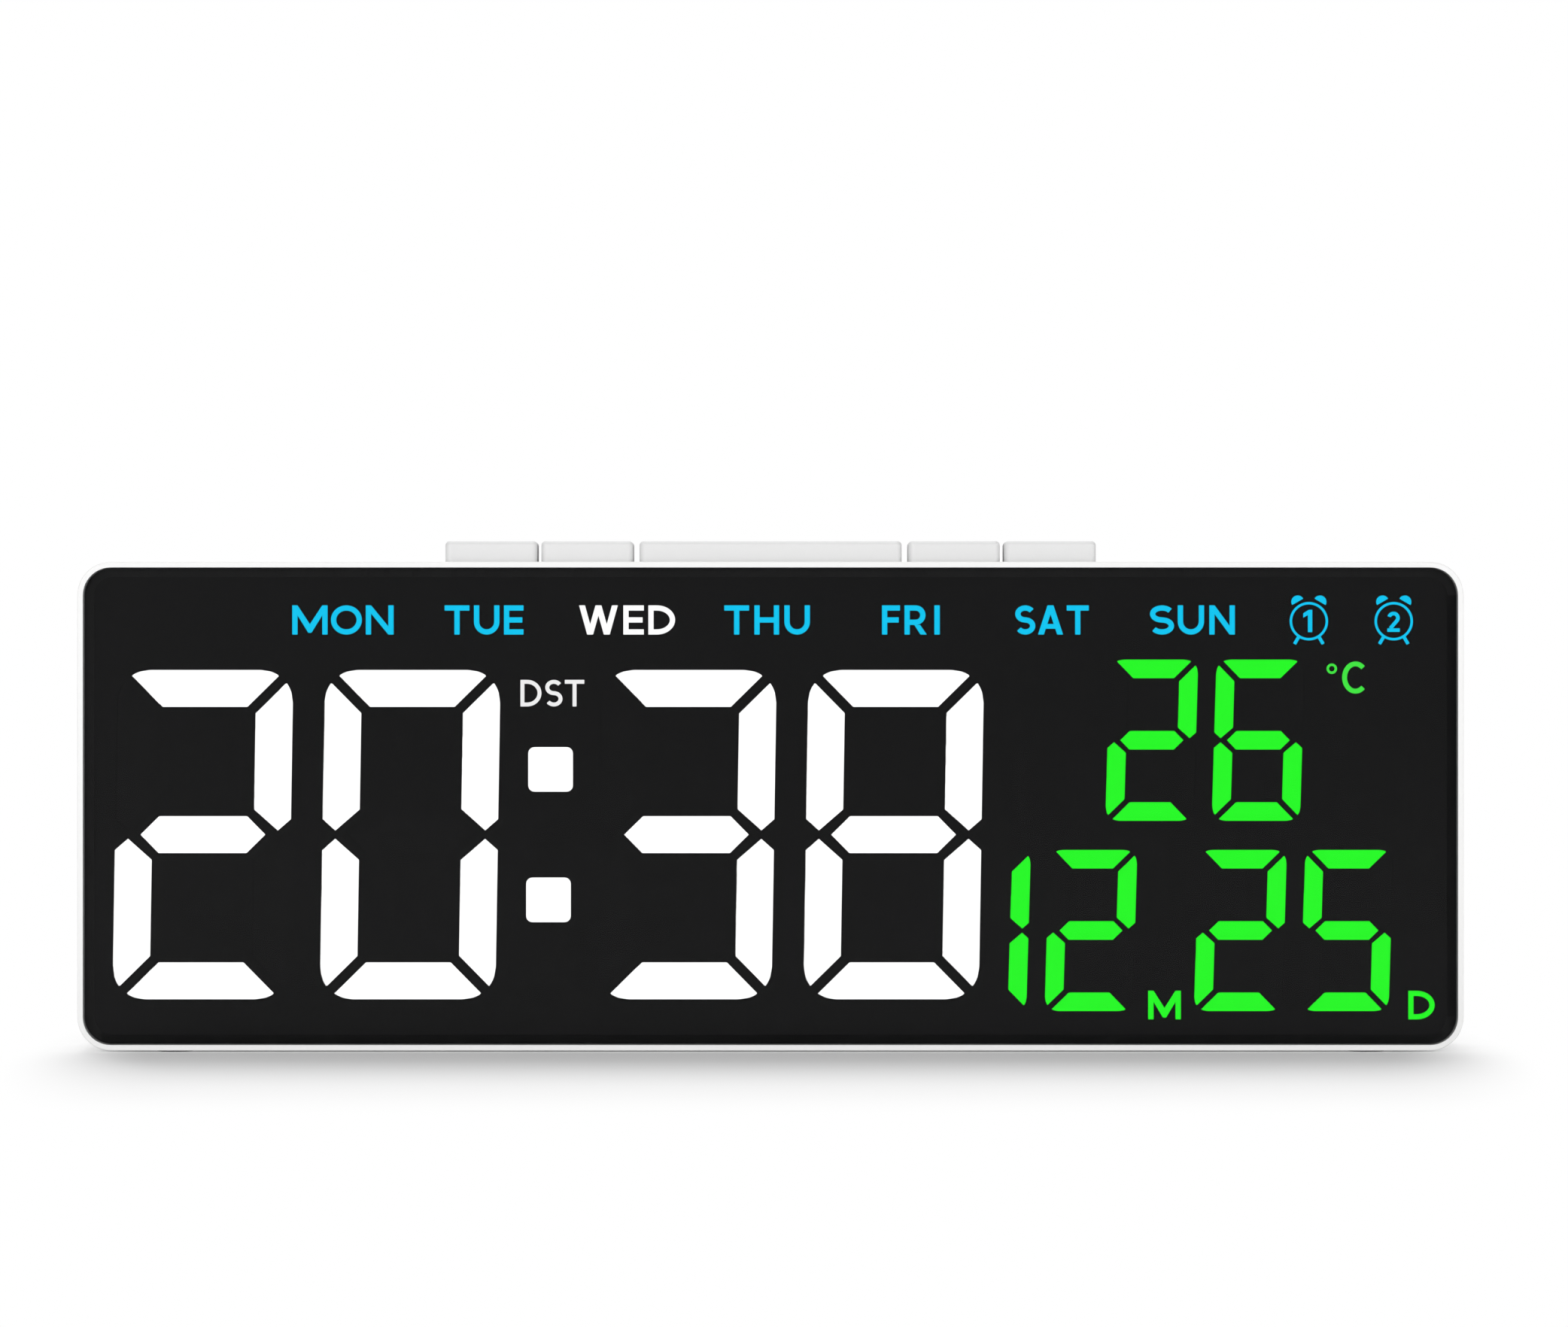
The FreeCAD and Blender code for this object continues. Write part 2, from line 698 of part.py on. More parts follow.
slab(front_frame, "Foot_seats", "XY", "low", "low + foot_seat",
     [Circle(x, "front + front_foot_setback", "foot_radius + fit") for x in FEET_X], True)

# ---- lens, tape and printed film ------------------------------------------------------------------

front_lens = new_body("front_lens")
slab(front_lens, "Pane", "XZ", "lens_front", "lens_back",
     [case_outline("bezel + fit / 2", "case_corner - bezel - fit / 2")])

lens_tape = new_body("lens_tape")
slab(lens_tape, "Ring", "XZ", "lens_back", "mask_front",
     [case_outline("bezel + fit", "case_corner - bezel - fit"),
      case_outline("bezel + tape_width", "case_corner - bezel - tape_width")])

film_sheet = new_body("film_sheet", False)
slab(film_sheet, "Sheet", "XZ", "mask_front", "mask_back",
     [case_outline("bezel + fit", "case_corner - bezel - fit")])
film_windows = []
for digit in DIGITS:
    film_windows.extend(digit_segments(digit, 0.0, value("mask_front - wall"), value("mask_back + wall")))
film_windows.extend(colon_solids(0.0, value("mask_front - wall"), value("mask_back + wall")))
boolean("Cut", "mask_film", film_sheet, part_feature("film_windows", Part.Compound(film_windows), False))

# ---- reflector and light guides -------------------------------------------------------------------

reflector_edge = "ledge + clearance"
reflector_body = new_body("reflector_body", False)
slab(reflector_body, "Skin", "XZ", "mask_back", "mask_back + reflector_skin",
     [case_outline(reflector_edge, "case_corner - ledge - clearance")])
slab(reflector_body, "Rim", "XZ", "mask_back", "board_front",
     [case_outline(reflector_edge, "case_corner - ledge - clearance"),
      case_outline(f"{reflector_edge} + ledge_thickness", "clearance")])
slab(reflector_body, "Screw_bosses", "XZ", "mask_back", "board_front",
     [Circle(x, z, "small_boss_radius") for x, z in REFLECTOR_SCREWS])

well_front, well_back = value("mask_back"), value("board_front")
tub_wall, well_margin = value("well_wall"), value("well_margin")
ALL_WINDOWS = WEEKDAY_WINDOWS + INDICATOR_WINDOWS
tubs = [digit_block(across, up, family, tub_wall, well_front, well_back)
        for name, across, up, family, letters in DIGITS]
tubs.extend(window_solid(window, tub_wall, well_front, well_back) for window in ALL_WINDOWS)
tubs.extend(colon_solids(tub_wall, well_front, well_back))
reflector_edges = window_solid(("0", "(low + high) / 2", f"2 * side - 2 * ({reflector_edge})",
                                f"high - low - 2 * ({reflector_edge})"), 0.0, well_front, well_back)
tub_walls = part_feature("tub_walls", tubs[0].multiFuse(tubs[1:]).common(reflector_edges), False)

wells = []
for digit in DIGITS:
    wells.extend(digit_segments(digit, well_margin, well_front - 1, well_back + 1))
wells.extend(colon_solids(well_margin, well_front - 1, well_back + 1))
wells.extend(window_solid(window, 0.0, well_front - 1, well_back + 1) for window in ALL_WINDOWS)
for x, z in REAR_SCREWS:
    wells.append(Part.makeCylinder(value("front_boss_radius + clearance"), well_back - well_front + 2,
                                   V(value(x), well_front - 1, value(z)), V(0, 1, 0)))
for x, z in REFLECTOR_SCREWS:
    wells.append(Part.makeCylinder(value("small_screw_radius"), value("small_screw_length"),
                                   V(value(x), value("board_back - small_screw_length"), value(z)),
                                   V(0, 1, 0)))
reflector_solid = boolean("Fuse", "reflector_solid", reflector_body, tub_walls, False)
boolean("Cut", "reflector", reflector_solid, part_feature("wells", Part.Compound(wells), False))

guide_back = value("mask_back + guide_depth")
for digit in DIGITS:
    part_feature(digit[0] + "_segments",
                 Part.Compound(digit_segments(digit, well_margin, well_front, guide_back)))
part_feature("colon_dots", Part.Compound(colon_solids(well_margin, well_front, guide_back)))
part_feature("weekday_windows", Part.Compound([window_solid(window, 0.0, well_front, guide_back)
                                               for window in WEEKDAY_WINDOWS]))
part_feature("indicator_windows", Part.Compound([window_solid(window, 0.0, well_front, guide_back)
                                                 for window in INDICATOR_WINDOWS]))

# ---- display board --------------------------------------------------------------------------------

display_board = new_body("display_board")
slab(display_board, "Board", "XZ", "board_front", "board_back",
     [case_outline("board_margin", "case_corner - board_margin")])
slab(display_board, "Rear_screw_holes", "XZ", "board_front", "board_back",
     [Circle(x, z, "rear_screw_radius + clearance") for x, z in REAR_SCREWS], True)
slab(display_board, "Reflector_screw_holes", "XZ", "board_front", "board_back",
     [Circle(x, z, "small_screw_radius + fit") for x, z in REFLECTOR_SCREWS], True)
slab(display_board, "Button_notch", "XZ", "board_front", "board_back",
     [Rectangle("-button_first - button_pitch - button_width", "button_first + button_pitch + button_width",
                "flange_low - button_travel - board_notch_gap", "high")], True)


def lamps(spots):
    """Small square lamps on the board's front face, one at each spot."""
    side, rise = value("lamp_side"), value("lamp_height")
    front = value("board_front") - rise
    return Part.Compound([Part.makeBox(side, rise, side, V(x - side / 2, front, z - side / 2))
                          for x, z in spots])


def digit_spots(digit, per_segment):
    """Lamp places along the middle line of each segment."""
    name, across, up, family, letters = digit
    lean = value(f"{family}_slant")
    column = (value(f"{family}_digit_width") - value(f"{family}_stroke")) / 2
    level = (value(f"{family}_digit_height") - value(f"{family}_stroke")) / 2
    middles = {"a": (0, level), "b": (column, level / 2), "c": (column, -level / 2), "d": (0, -level),
               "e": (-column, -level / 2), "f": (-column, level / 2), "g": (0, 0)}
    spots = []
    for letter in letters:
        x, z = middles[letter]
        along = (1, 0) if letter in "adg" else (0, 1)
        for step in range(per_segment):
            shift = (step - (per_segment - 1) / 2) * column
            here_x, here_z = x + along[0] * shift, z + along[1] * shift
            spots.append((value(across) + here_x + lean * here_z, value(up) + here_z))
    return spots


def window_spots(windows):
    """Lamp places at the middles of lettered windows."""
    return [(value(across), value(up)) for across, up, width, height in windows]


white_spots = [spot for digit in DIGITS[:4] for spot in digit_spots(digit, 2)]
white_spots += [(value(f"colon_x + {side} * big_slant * colon_rise"), value(f"big_z + {side} * colon_rise"))
                for side in (-1, 1)]
white_spots += window_spots((SUMMER_TIME_WINDOW,))
green_spots = [spot for digit in DIGITS[4:] for spot in digit_spots(digit, 1)] + window_spots(GREEN_WINDOWS)
cyan_spots = window_spots(WEEKDAY_WINDOWS + ALARM_WINDOWS)
part_feature("white_lamps", lamps(white_spots))
part_feature("green_lamps", lamps(green_spots))
part_feature("cyan_lamps", lamps(cyan_spots))

reflector_screws = new_body("reflector_screws")
slab(reflector_screws, "Shanks", "XZ", "board_back - small_screw_length",
     "board_back + small_screw_head / 2", [Circle(x, z, "small_screw_radius") for x, z in REFLECTOR_SCREWS])
slab(reflector_screws, "Heads", "XZ", "board_back", "board_back + small_screw_head",
     [Circle(x, z, "small_screw_head_radius") for x, z in REFLECTOR_SCREWS])

# ---- parts on the back of the display board -------------------------------------------------------


def board_part(label, outlines, height):
    """A component that sits on the back of the display board."""
    body = new_body(label)
    slab(body, "Package", "XZ", "board_back", f"board_back + {height}", outlines)
    return body


controller_chip = board_part("controller_chip", [centred("chip_x", "big_z", "chip_side", "chip_side")],
                             "chip_height")
slab(controller_chip, "Pin_one_dimple", "XZ", "board_back + chip_height - fit", "board_back + chip_height",
     [Circle("chip_x - chip_side / 2 + pin_one_inset", "big_z + chip_side / 2 - pin_one_inset",
             "pin_one_radius")], True)
board_part("driver_chips", [centred(f"first_driver_x + {step} * driver_pitch", "date_z", "driver_length",
                                    "driver_width") for step in range(2)], "driver_height")
board_part("clock_crystal", [centred("chip_x", "big_z - chip_side - crystal_width", "crystal_length",
                                     "crystal_width", "crystal_width / 2 - fit")], "crystal_height")
board_part("capacitors", [Circle(f"-capacitor_left + {step} * capacitor_pitch", "big_high - chip_side",
                                 "capacitor_radius") for step in range(2)], "capacitor_height")
board_part("chip_resistors",
           [centred(f"-resistor_left + {step} * resistor_pitch", "resistor_z", "resistor_length",
                    "resistor_width") for step in range(8)], "resistor_height")
alarm_buzzer = board_part("alarm_buzzer", [Circle("buzzer_x", "buzzer_z", "buzzer_radius")],
                          "buzzer_height")
slab(alarm_buzzer, "Sound_port", "XZ", "board_back + buzzer_height - buzzer_sound_radius",
     "board_back + buzzer_height", [Circle("buzzer_x", "buzzer_z", "buzzer_sound_radius")], True)
temperature_sensor = board_part("temperature_sensor", [Circle("sensor_x", "sensor_z", "sensor_radius")],
                                "sensor_height")
slab(temperature_sensor, "Flat", "XZ", "board_back", "board_back + sensor_height",
     [Rectangle("sensor_x - sensor_radius", "sensor_x + sensor_radius", "sensor_z - sensor_radius",
                "sensor_z - sensor_flat")], True)

board_part("lead_connectors", [
    centred("power_connector_x", "power_connector_z", "connector_width", "connector_height"),
    centred("battery_connector_x", "battery_connector_z", "connector_width", "connector_height * 2"),
], "connector_depth")

switches = new_body("button_switches")
slab(switches, "Housings", "XZ", "board_back", "board_back + switch_depth",
     [Rectangle(f"{x} - switch_width / 2", f"{x} + switch_width / 2", "switch_high - switch_height",
                "switch_high") for name, x, width in BUTTONS])
slab(switches, "Plunger_wells", "XY", "switch_high - 2 * plunger_rise", "switch_high",
     [Circle(x, "switch_y", "plunger_radius + fit") for name, x, width in BUTTONS], True)

# ---- buttons --------------------------------------------------------------------------------------

for name, x, width in BUTTONS:
    plunger = new_body(f"{name}_plunger")
    slab(plunger, "Stem", "XY", "rib_low - 2 * plunger_rise + button_travel", "rib_low",
         [Circle(x, "switch_y", "plunger_radius")])
    cap = new_body(f"{name}_button")
    slab(cap, "Cap", "XY", "flange_low", "high + button_proud",
         [Rectangle(f"{x} - {width} / 2", f"{x} + {width} / 2", "button_front", "button_back",
                    "button_corner")])
    round_edges(cap, "Top_edge", "button_edge_round", lies_at("z", "high + button_proud"))
    slab(cap, "Flange", "XY", "flange_low", "button_seat",
         [Rectangle(f"{x} - {width} / 2", f"{x} + {width} / 2", "button_front - button_flange_overhang",
                    "button_back + button_flange_overhang")])
    slab(cap, "Rib", "XY", "rib_low", "flange_low",
         [centred(x, "switch_y", "rib_side", "rib_side")])

# ---- rear cover -----------------------------------------------------------------------------------

rear_cover = new_body("rear_cover")
slab(rear_cover, "Shell", "XZ", "seam", "back", [case_outline("0", "case_corner")])
round_edges(rear_cover, "Rear_edge", "rear_edge_round", lies_at("y", "back"))
slab(rear_cover, "Cavity", "XZ", "seam", "rear_wall", [case_outline("wall", "case_corner - wall")], True)
slab(rear_cover, "Lip_root", "XZ", "seam", "seam + lip_root",
     [case_outline("wall / 2", "case_corner - wall / 2"),
      case_outline("lip_inner", "case_corner - lip_inner")])
slab(rear_cover, "Lip", "XZ", "seam - lip_length", "seam",
     [case_outline("wall + fit", "case_corner - wall - fit"),
      case_outline("lip_inner", "case_corner - lip_inner")])
slab(rear_cover, "Lip_boss_gaps", "XZ", "seam - lip_length", "board_front",
     [Circle(x, z, "front_boss_radius + clearance") for x, z in REAR_SCREWS], True)
slab(rear_cover, "Screw_bosses", "XZ", "board_back", "rear_wall",
     [Circle(x, z, "rear_boss_radius") for x, z in REAR_SCREWS])
slab(rear_cover, "Battery_box", "XZ", "bay_front", "rear_wall",
     [Rectangle("bay_left - bay_wall", "bay_right + bay_wall", "bay_low - bay_wall", "bay_high + bay_wall")])
slab(rear_cover, "Keyhole_boxes", "XZ", "keyhole_floor - keyhole_pocket_wall", "rear_wall",
     [Rectangle(f"{x} - keyhole_side - keyhole_pocket_wall", f"{x} + keyhole_side + keyhole_pocket_wall",
                "keyhole_z - keyhole_side - keyhole_pocket_wall",
                "keyhole_z + keyhole_travel + keyhole_side + keyhole_pocket_wall")
      for x in ("-keyhole_spread", "keyhole_spread")])
slab(rear_cover, "Inlet_bosses", "XZ", "inlet_board_back", "rear_wall",
     [Circle(x, z, "small_boss_radius") for x, z in INLET_SCREWS])
slab(rear_cover, "Leg_box", "XZ", "leg_recess_floor - leg_recess_wall", "rear_wall",
     [Rectangle("-leg_recess_side - leg_recess_wall", "leg_recess_side + leg_recess_wall", "low",
                "leg_recess_top + leg_recess_wall")])
slab(rear_cover, "Leg_recess", "XZ", "leg_recess_floor", "back",
     [Rectangle("-leg_recess_side", "leg_recess_side", "low - wall", "leg_recess_top")], True)
slab(rear_cover, "Leg_pin_holes", "YZ", "-leg_recess_side - leg_pin_seat", "leg_recess_side + leg_pin_seat",
     [Circle("leg_axis_y", "leg_axis_z", "leg_pin_radius")], True)
slab(rear_cover, "Battery_bay", "XZ", "bay_front + bay_floor", "back",
     [Rectangle("bay_left", "bay_right", "bay_low", "bay_high")], True)
slab(rear_cover, "Door_rebate", "XZ", "door_ledge_y", "back",
     [Rectangle("door_left - clearance", "door_right + clearance", "door_low - clearance",
                "door_high + clearance")], True)
slab(rear_cover, "Door_pin_holes", "YZ", "door_left - door_pin_length - clearance / 2",
     "door_right + door_pin_length + clearance / 2",
     [Circle("door_axis_y", "door_axis_z", "door_pin_radius + fit / 2")], True)
slab(rear_cover, "Thumb_notch", "XZ", "back - thumb_notch_depth", "back",
     [Circle("(door_left + door_right) / 2", "door_high", "thumb_notch_radius")], True)
slab(rear_cover, "Contact_tail_slots", "YZ", "bay_left - bay_wall", "bay_left",
     [centred("cell_y", z, "tail_width + clearance", "contact_thickness + clearance")
      for z in ("lower_cell_z", "upper_cell_z")], True)
slab(rear_cover, "Keyhole_pockets", "XZ", "keyhole_floor", "rear_wall",
     [Rectangle(f"{x} - keyhole_side", f"{x} + keyhole_side", "keyhole_z - keyhole_side",
                "keyhole_z + keyhole_travel + keyhole_side")
      for x in ("-keyhole_spread", "keyhole_spread")], True)
slab(rear_cover, "Keyhole_entries", "XZ", "keyhole_floor", "back",
     [Circle(x, "keyhole_z", "keyhole_entry_radius") for x in ("-keyhole_spread", "keyhole_spread")], True)
slab(rear_cover, "Keyhole_slots", "XZ", "keyhole_floor", "back",
     [Rectangle(f"{x} - keyhole_slot_radius", f"{x} + keyhole_slot_radius", "keyhole_z",
                "keyhole_z + keyhole_travel + keyhole_slot_radius", "keyhole_slot_radius - fit")
      for x in ("-keyhole_spread", "keyhole_spread")], True)
slab(rear_cover, "Screw_clearance", "XZ", "board_back", "back",
     [Circle(x, z, "rear_screw_radius + fit") for x, z in REAR_SCREWS], True)
slab(rear_cover, "Screw_head_seats", "XZ", "rear_screw_top - rear_screw_head", "back",
     [Circle(x, z, "rear_screw_head_radius + fit * 2") for x, z in REAR_SCREWS], True)
slab(rear_cover, "Inlet_screw_holes", "XZ", "inlet_board_back", "inlet_board_front + small_screw_length",
     [Circle(x, z, "small_screw_radius") for x, z in INLET_SCREWS], True)
slab(rear_cover, "Inlet_opening", "XZ", "rear_wall - wall", "back",
     [centred("-inlet_left", "inlet_z", "inlet_width + 2 * clearance", "inlet_height + 2 * clearance",
              "inlet_height / 2 + clearance - fit")], True)
slab(rear_cover, "Button_slot", "XY", "high - wall", "high",
     [Rectangle("-button_first - button_pitch - button_width / 2 - clearance",
                "button_first + button_pitch + button_width / 2 + clearance",
                "button_front - clearance", "button_back + clearance", "button_corner")], True)
slab(rear_cover, "Foot_seats", "XY", "low", "low + foot_seat",
     [Circle(x, "back - rear_foot_setback", "foot_radius + fit") for x in FEET_X], True)
slab(rear_cover, "Sound_holes", "XZ", "rear_wall", "back",
     [Circle("buzzer_x", "buzzer_z", "sound_hole_radius")]
     + [Circle(f"buzzer_x + sound_hole_circle * {math.cos(step * math.pi / 3):.6f}",
               f"buzzer_z + sound_hole_circle * {math.sin(step * math.pi / 3):.6f}", "sound_hole_radius")
        for step in range(6)], True)
slab(rear_cover, "Vent_slots", "XZ", "rear_wall", "back",
     [centred(f"sensor_x + {step} * vent_pitch", "sensor_z", "vent_width", "vent_height",
              "vent_width / 2 - fit") for step in (-1, 0, 1)], True)

rear_screws = new_body("rear_screws")
slab(rear_screws, "Shanks", "XZ", "rear_screw_tip", "rear_screw_top",
     [Circle(x, z, "rear_screw_radius") for x, z in REAR_SCREWS])
slab(rear_screws, "Heads", "XZ", "rear_screw_top - rear_screw_head", "rear_screw_top",
     [Circle(x, z, "rear_screw_head_radius") for x, z in REAR_SCREWS])
for turned in (("2 * rear_screw_radius", "cross_slot_width"), ("cross_slot_width", "2 * rear_screw_radius")):
    slab(rear_screws, "Cross_slot", "XZ", "rear_screw_top - rear_screw_head / 2", "rear_screw_top",
         [centred(x, z, *turned) for x, z in REAR_SCREWS], True)

rubber_feet = new_body("rubber_feet")
slab(rubber_feet, "Discs", "XY", "0", "low + foot_seat",
     [Circle(x, y, "foot_radius") for x in FEET_X
      for y in ("front + front_foot_setback", "back - rear_foot_setback")])

# ---- battery compartment --------------------------------------------------------------------------

battery_door = new_body("battery_door")
slab(battery_door, "Panel", "XZ", "back - door_thickness", "back",
     [Rectangle("door_left", "door_right", "door_axis_z", "door_high")])
slab(battery_door, "Hinge_edge", "YZ", "door_left", "door_right",
     [Circle("door_axis_y", "door_axis_z", "door_thickness / 2")])
slab(battery_door, "Hinge_pins", "YZ", "door_left - door_pin_length", "door_right + door_pin_length",
     [Circle("door_axis_y", "door_axis_z", "door_pin_radius")])
slab(battery_door, "Grip_ribs", "XZ", "back - door_thickness / 2", "back + door_rib_proud",
     [centred("(door_left + door_right) / 2", f"door_high - {step} * 2 * door_rib_width",
              "door_rib_length", "door_rib_width", "door_rib_width / 2 - fit") for step in range(1, 5)])

for name, z, body_left, tip_left in (
    ("upper_battery", "upper_cell_z", "bay_left + contact_thickness + spring_length",
     "bay_left + contact_thickness + spring_length + cell_length"),
    ("lower_battery", "lower_cell_z", "bay_right - contact_thickness - spring_length - cell_length",
     "bay_right - contact_thickness - spring_length - cell_length - cell_tip_length"),
):
    cell = new_body(name)
    slab(cell, "Can", "YZ", body_left, f"{body_left} + cell_length", [Circle("cell_y", z, "cell_radius")])
    round_edges(cell, "Rims", "cell_round", lambda edge: edge.Curve.TypeId == "Part::GeomCircle")
    slab(cell, "Tip", "YZ", tip_left, f"{tip_left} + cell_tip_length",
         [Circle("cell_y", z, "cell_tip_radius")])


def contact_plate(label, left, right, low, high):
    """A sheet-metal contact against an end wall of the battery bay."""
    body = new_body(label, False)
    slab(body, "Plate", "YZ", left, right,
         [Rectangle("cell_y - cell_radius", "cell_y + cell_radius - clearance", low, high)])
    return body


def contact_spring(label, base_x, up, direction):
    """A conical spring that stands on a contact plate, wide at the plate."""
    wire_radius, length = value("spring_wire_radius"), value("spring_length")
    reach = length - 2 * wire_radius
    lean = math.degrees(math.atan2(value("spring_radius - spring_tip_radius"), reach))
    path = Part.makeHelix(reach / value("spring_turns"), reach, value("spring_radius"), -lean)
    start = V(value("spring_radius"), 0, 0)
    profile = Part.Wire(Part.makeCircle(wire_radius, start, V(0, 1, 0)))
    coil = Part.Wire(path.Edges).makePipeShell([profile], True, True)
    placement = FreeCAD.Placement(V(base_x + direction * wire_radius / 2, value("cell_y"), value(up)),
                                  FreeCAD.Rotation(V(0, 0, 1), V(direction, 0, 0)))
    return part_feature(label, coil, False, placement)


def contact_tail(body, z):
    """The tail that carries a contact out through the bay's left wall."""
    slab(body, "Tail", "YZ", "bay_left - tail_length", "bay_left",
         [centred("cell_y", z, "tail_width", "contact_thickness")])


LEFT_PLATE = ("bay_left", "bay_left + contact_thickness")
RIGHT_PLATE = ("bay_right - contact_thickness", "bay_right")
LOWER_PLATE = ("lower_cell_z - cell_radius + clearance", "lower_cell_z + cell_radius - clearance")
UPPER_PLATE = ("upper_cell_z - cell_radius + clearance", "upper_cell_z + cell_radius - clearance")
positive_contact = contact_plate("positive_contact", *LEFT_PLATE, *LOWER_PLATE)
contact_tail(positive_contact, "lower_cell_z")
nodes.append(positive_contact)
negative_plate = contact_plate("negative_plate", *LEFT_PLATE, *UPPER_PLATE)
contact_tail(negative_plate, "upper_cell_z")
negative_spring = contact_spring("negative_spring", value("bay_left + contact_thickness"), "upper_cell_z", 1)
boolean("Fuse", "negative_contact", negative_plate, negative_spring)
bridge_plate = contact_plate("bridge_plate", *RIGHT_PLATE, LOWER_PLATE[0], UPPER_PLATE[1])
bridge_spring = contact_spring("bridge_spring", value("bay_right - contact_thickness"), "lower_cell_z", -1)
boolean("Fuse", "bridge_contact", bridge_plate, bridge_spring)

# ---- stand ----------------------------------------------------------------------------------------

stand_leg = new_body("stand_leg")
slab(stand_leg, "Blade", "XZ", "leg_front", "leg_back",
     [Rectangle("-leg_width / 2", "leg_width / 2", "low + leg_lift + leg_pad_height", "leg_axis_z")])
slab(stand_leg, "Back_panel", "XZ", "leg_back - leg_panel_depth", "leg_back",
     [Rectangle("-leg_width / 2 + leg_panel_border", "leg_width / 2 - leg_panel_border",
                "low + leg_lift + leg_pad_height + leg_panel_border",
                "leg_axis_z - leg_barrel_radius - leg_panel_border", "leg_barrel_radius")], True)
slab(stand_leg, "Barrel", "YZ", "-leg_width / 2", "leg_width / 2",
     [Circle("leg_axis_y", "leg_axis_z", "leg_barrel_radius")])
slab(stand_leg, "Pin_bore", "YZ", "-leg_width / 2", "leg_width / 2",
     [Circle("leg_axis_y", "leg_axis_z", "leg_pin_radius + fit / 2")], True)

leg_pad = new_body("stand_foot_pad")
slab(leg_pad, "Pad", "XZ", "leg_front", "leg_back",
     [Rectangle("-leg_width / 2", "leg_width / 2", "low + leg_lift", "low + leg_lift + leg_pad_height")])

leg_pin = new_body("stand_hinge_pin")
slab(leg_pin, "Pin", "YZ", "-leg_recess_side - leg_pin_seat", "leg_recess_side + leg_pin_seat",
     [Circle("leg_axis_y", "leg_axis_z", "leg_pin_radius")])

# ---- power inlet ----------------------------------------------------------------------------------

power_board = new_body("power_board")
slab(power_board, "Board", "XZ", "inlet_board_front", "inlet_board_back",
     [centred("-inlet_left", "inlet_z", "inlet_board_width", "inlet_board_height",
              "inlet_board_corner")])
slab(power_board, "Screw_holes", "XZ", "inlet_board_front", "inlet_board_back",
     [Circle(x, z, "small_screw_radius + fit") for x, z in INLET_SCREWS], True)

power_board_screws = new_body("power_board_screws")
slab(power_board_screws, "Heads", "XZ", "inlet_board_front - small_screw_head", "inlet_board_front",
     [Circle(x, z, "small_screw_head_radius") for x, z in INLET_SCREWS])
slab(power_board_screws, "Shanks", "XZ", "inlet_board_front - small_screw_head / 2",
     "inlet_board_front + small_screw_length", [Circle(x, z, "small_screw_radius") for x, z in INLET_SCREWS])

usb_socket = new_body("usb_socket")
slab(usb_socket, "Shell", "XZ", "inlet_board_back", "inlet_board_back + inlet_length",
     [centred("-inlet_left", "inlet_z", "inlet_width", "inlet_height", "inlet_height / 2 - fit")])
slab(usb_socket, "Mouth", "XZ", "inlet_board_back + inlet_base", "inlet_board_back + inlet_length",
     [centred("-inlet_left", "inlet_z", "inlet_width - 2 * inlet_wall", "inlet_height - 2 * inlet_wall",
              "inlet_height / 2 - inlet_wall - fit")], True)
slab(usb_socket, "Tongue", "XZ", "inlet_board_back + inlet_base / 2",
     "inlet_board_back + inlet_length - inlet_base",
     [centred("-inlet_left", "inlet_z", "inlet_tongue_width", "inlet_tongue_thickness")])

# ---- internal leads -------------------------------------------------------------------------------


def lead(points, radius):
    """A round lead along straight runs joined by tangent arcs, as one solid."""
    edges = []
    here = points[0]
    for before, corner, after in zip(points, points[1:], points[2:]):
        into, out = (corner - before), (after - corner)
        shorter = min(into.Length, out.Length)
        into.normalize()
        out.normalize()
        half_turn = into.getAngle(out) / 2
        trim = 0.45 * shorter
        bend = trim / math.tan(half_turn)
        start, end = corner - into * trim, corner + out * trim
        middle = corner + (out - into).normalize() * (bend / math.cos(half_turn) - bend)
        edges.append(Part.LineSegment(here, start).toShape())
        edges.append(Part.Arc(start, middle, end).toShape())
        print(f"lead bend radius {bend:.1f}")
        here = end
    edges.append(Part.LineSegment(here, points[-1]).toShape())
    path = Part.Wire(edges)
    heading = (points[1] - points[0]).normalize()
    profile = Part.Wire(Part.makeCircle(radius, points[0], heading))
    solid = path.makePipeShell([profile], True, True)
    section = math.pi * radius ** 2 * path.Length
    if abs(solid.Volume / section - 1) > 0.01:
        raise RuntimeError("a lead's volume does not match its section times its length")
    return solid


lead_radius = value("lead_radius")
lead_depth = value("board_back + connector_depth / 2")
power_run = [
    V(value("-inlet_left + inlet_board_width / 2"), value("inlet_board_back - board_thickness / 2"),
      value("power_connector_z")),
    V(value("power_connector_x - connector_gap / 2 - connector_width / 4"),
      value("inlet_board_back - board_thickness / 2"), value("power_connector_z")),
    V(value("power_connector_x - connector_width / 2 - connector_gap / 4"), lead_depth,
      value("power_connector_z")),
    V(value("power_connector_x - connector_width / 2"), lead_depth, value("power_connector_z")),
]
part_feature("power_lead", lead(power_run, lead_radius))

battery_runs = []
for cell_z, side in (("lower_cell_z", -1), ("upper_cell_z", 1)):
    plug_right = value("battery_connector_x + connector_width / 2")
    tail_end = value("bay_left - tail_length")
    plug_z = value(f"battery_connector_z + {side} * connector_height / 2")
    third = (tail_end - plug_right) / 3
    battery_runs.append([
        V(tail_end, value("cell_y"), value(cell_z)),
        V(tail_end - third, value("cell_y"), value(cell_z)),
        V(plug_right + third, lead_depth, plug_z),
        V(plug_right, lead_depth, plug_z),
    ])
part_feature("battery_leads", Part.Compound([lead(run, lead_radius) for run in battery_runs]))

# ---- check and write ------------------------------------------------------------------------------

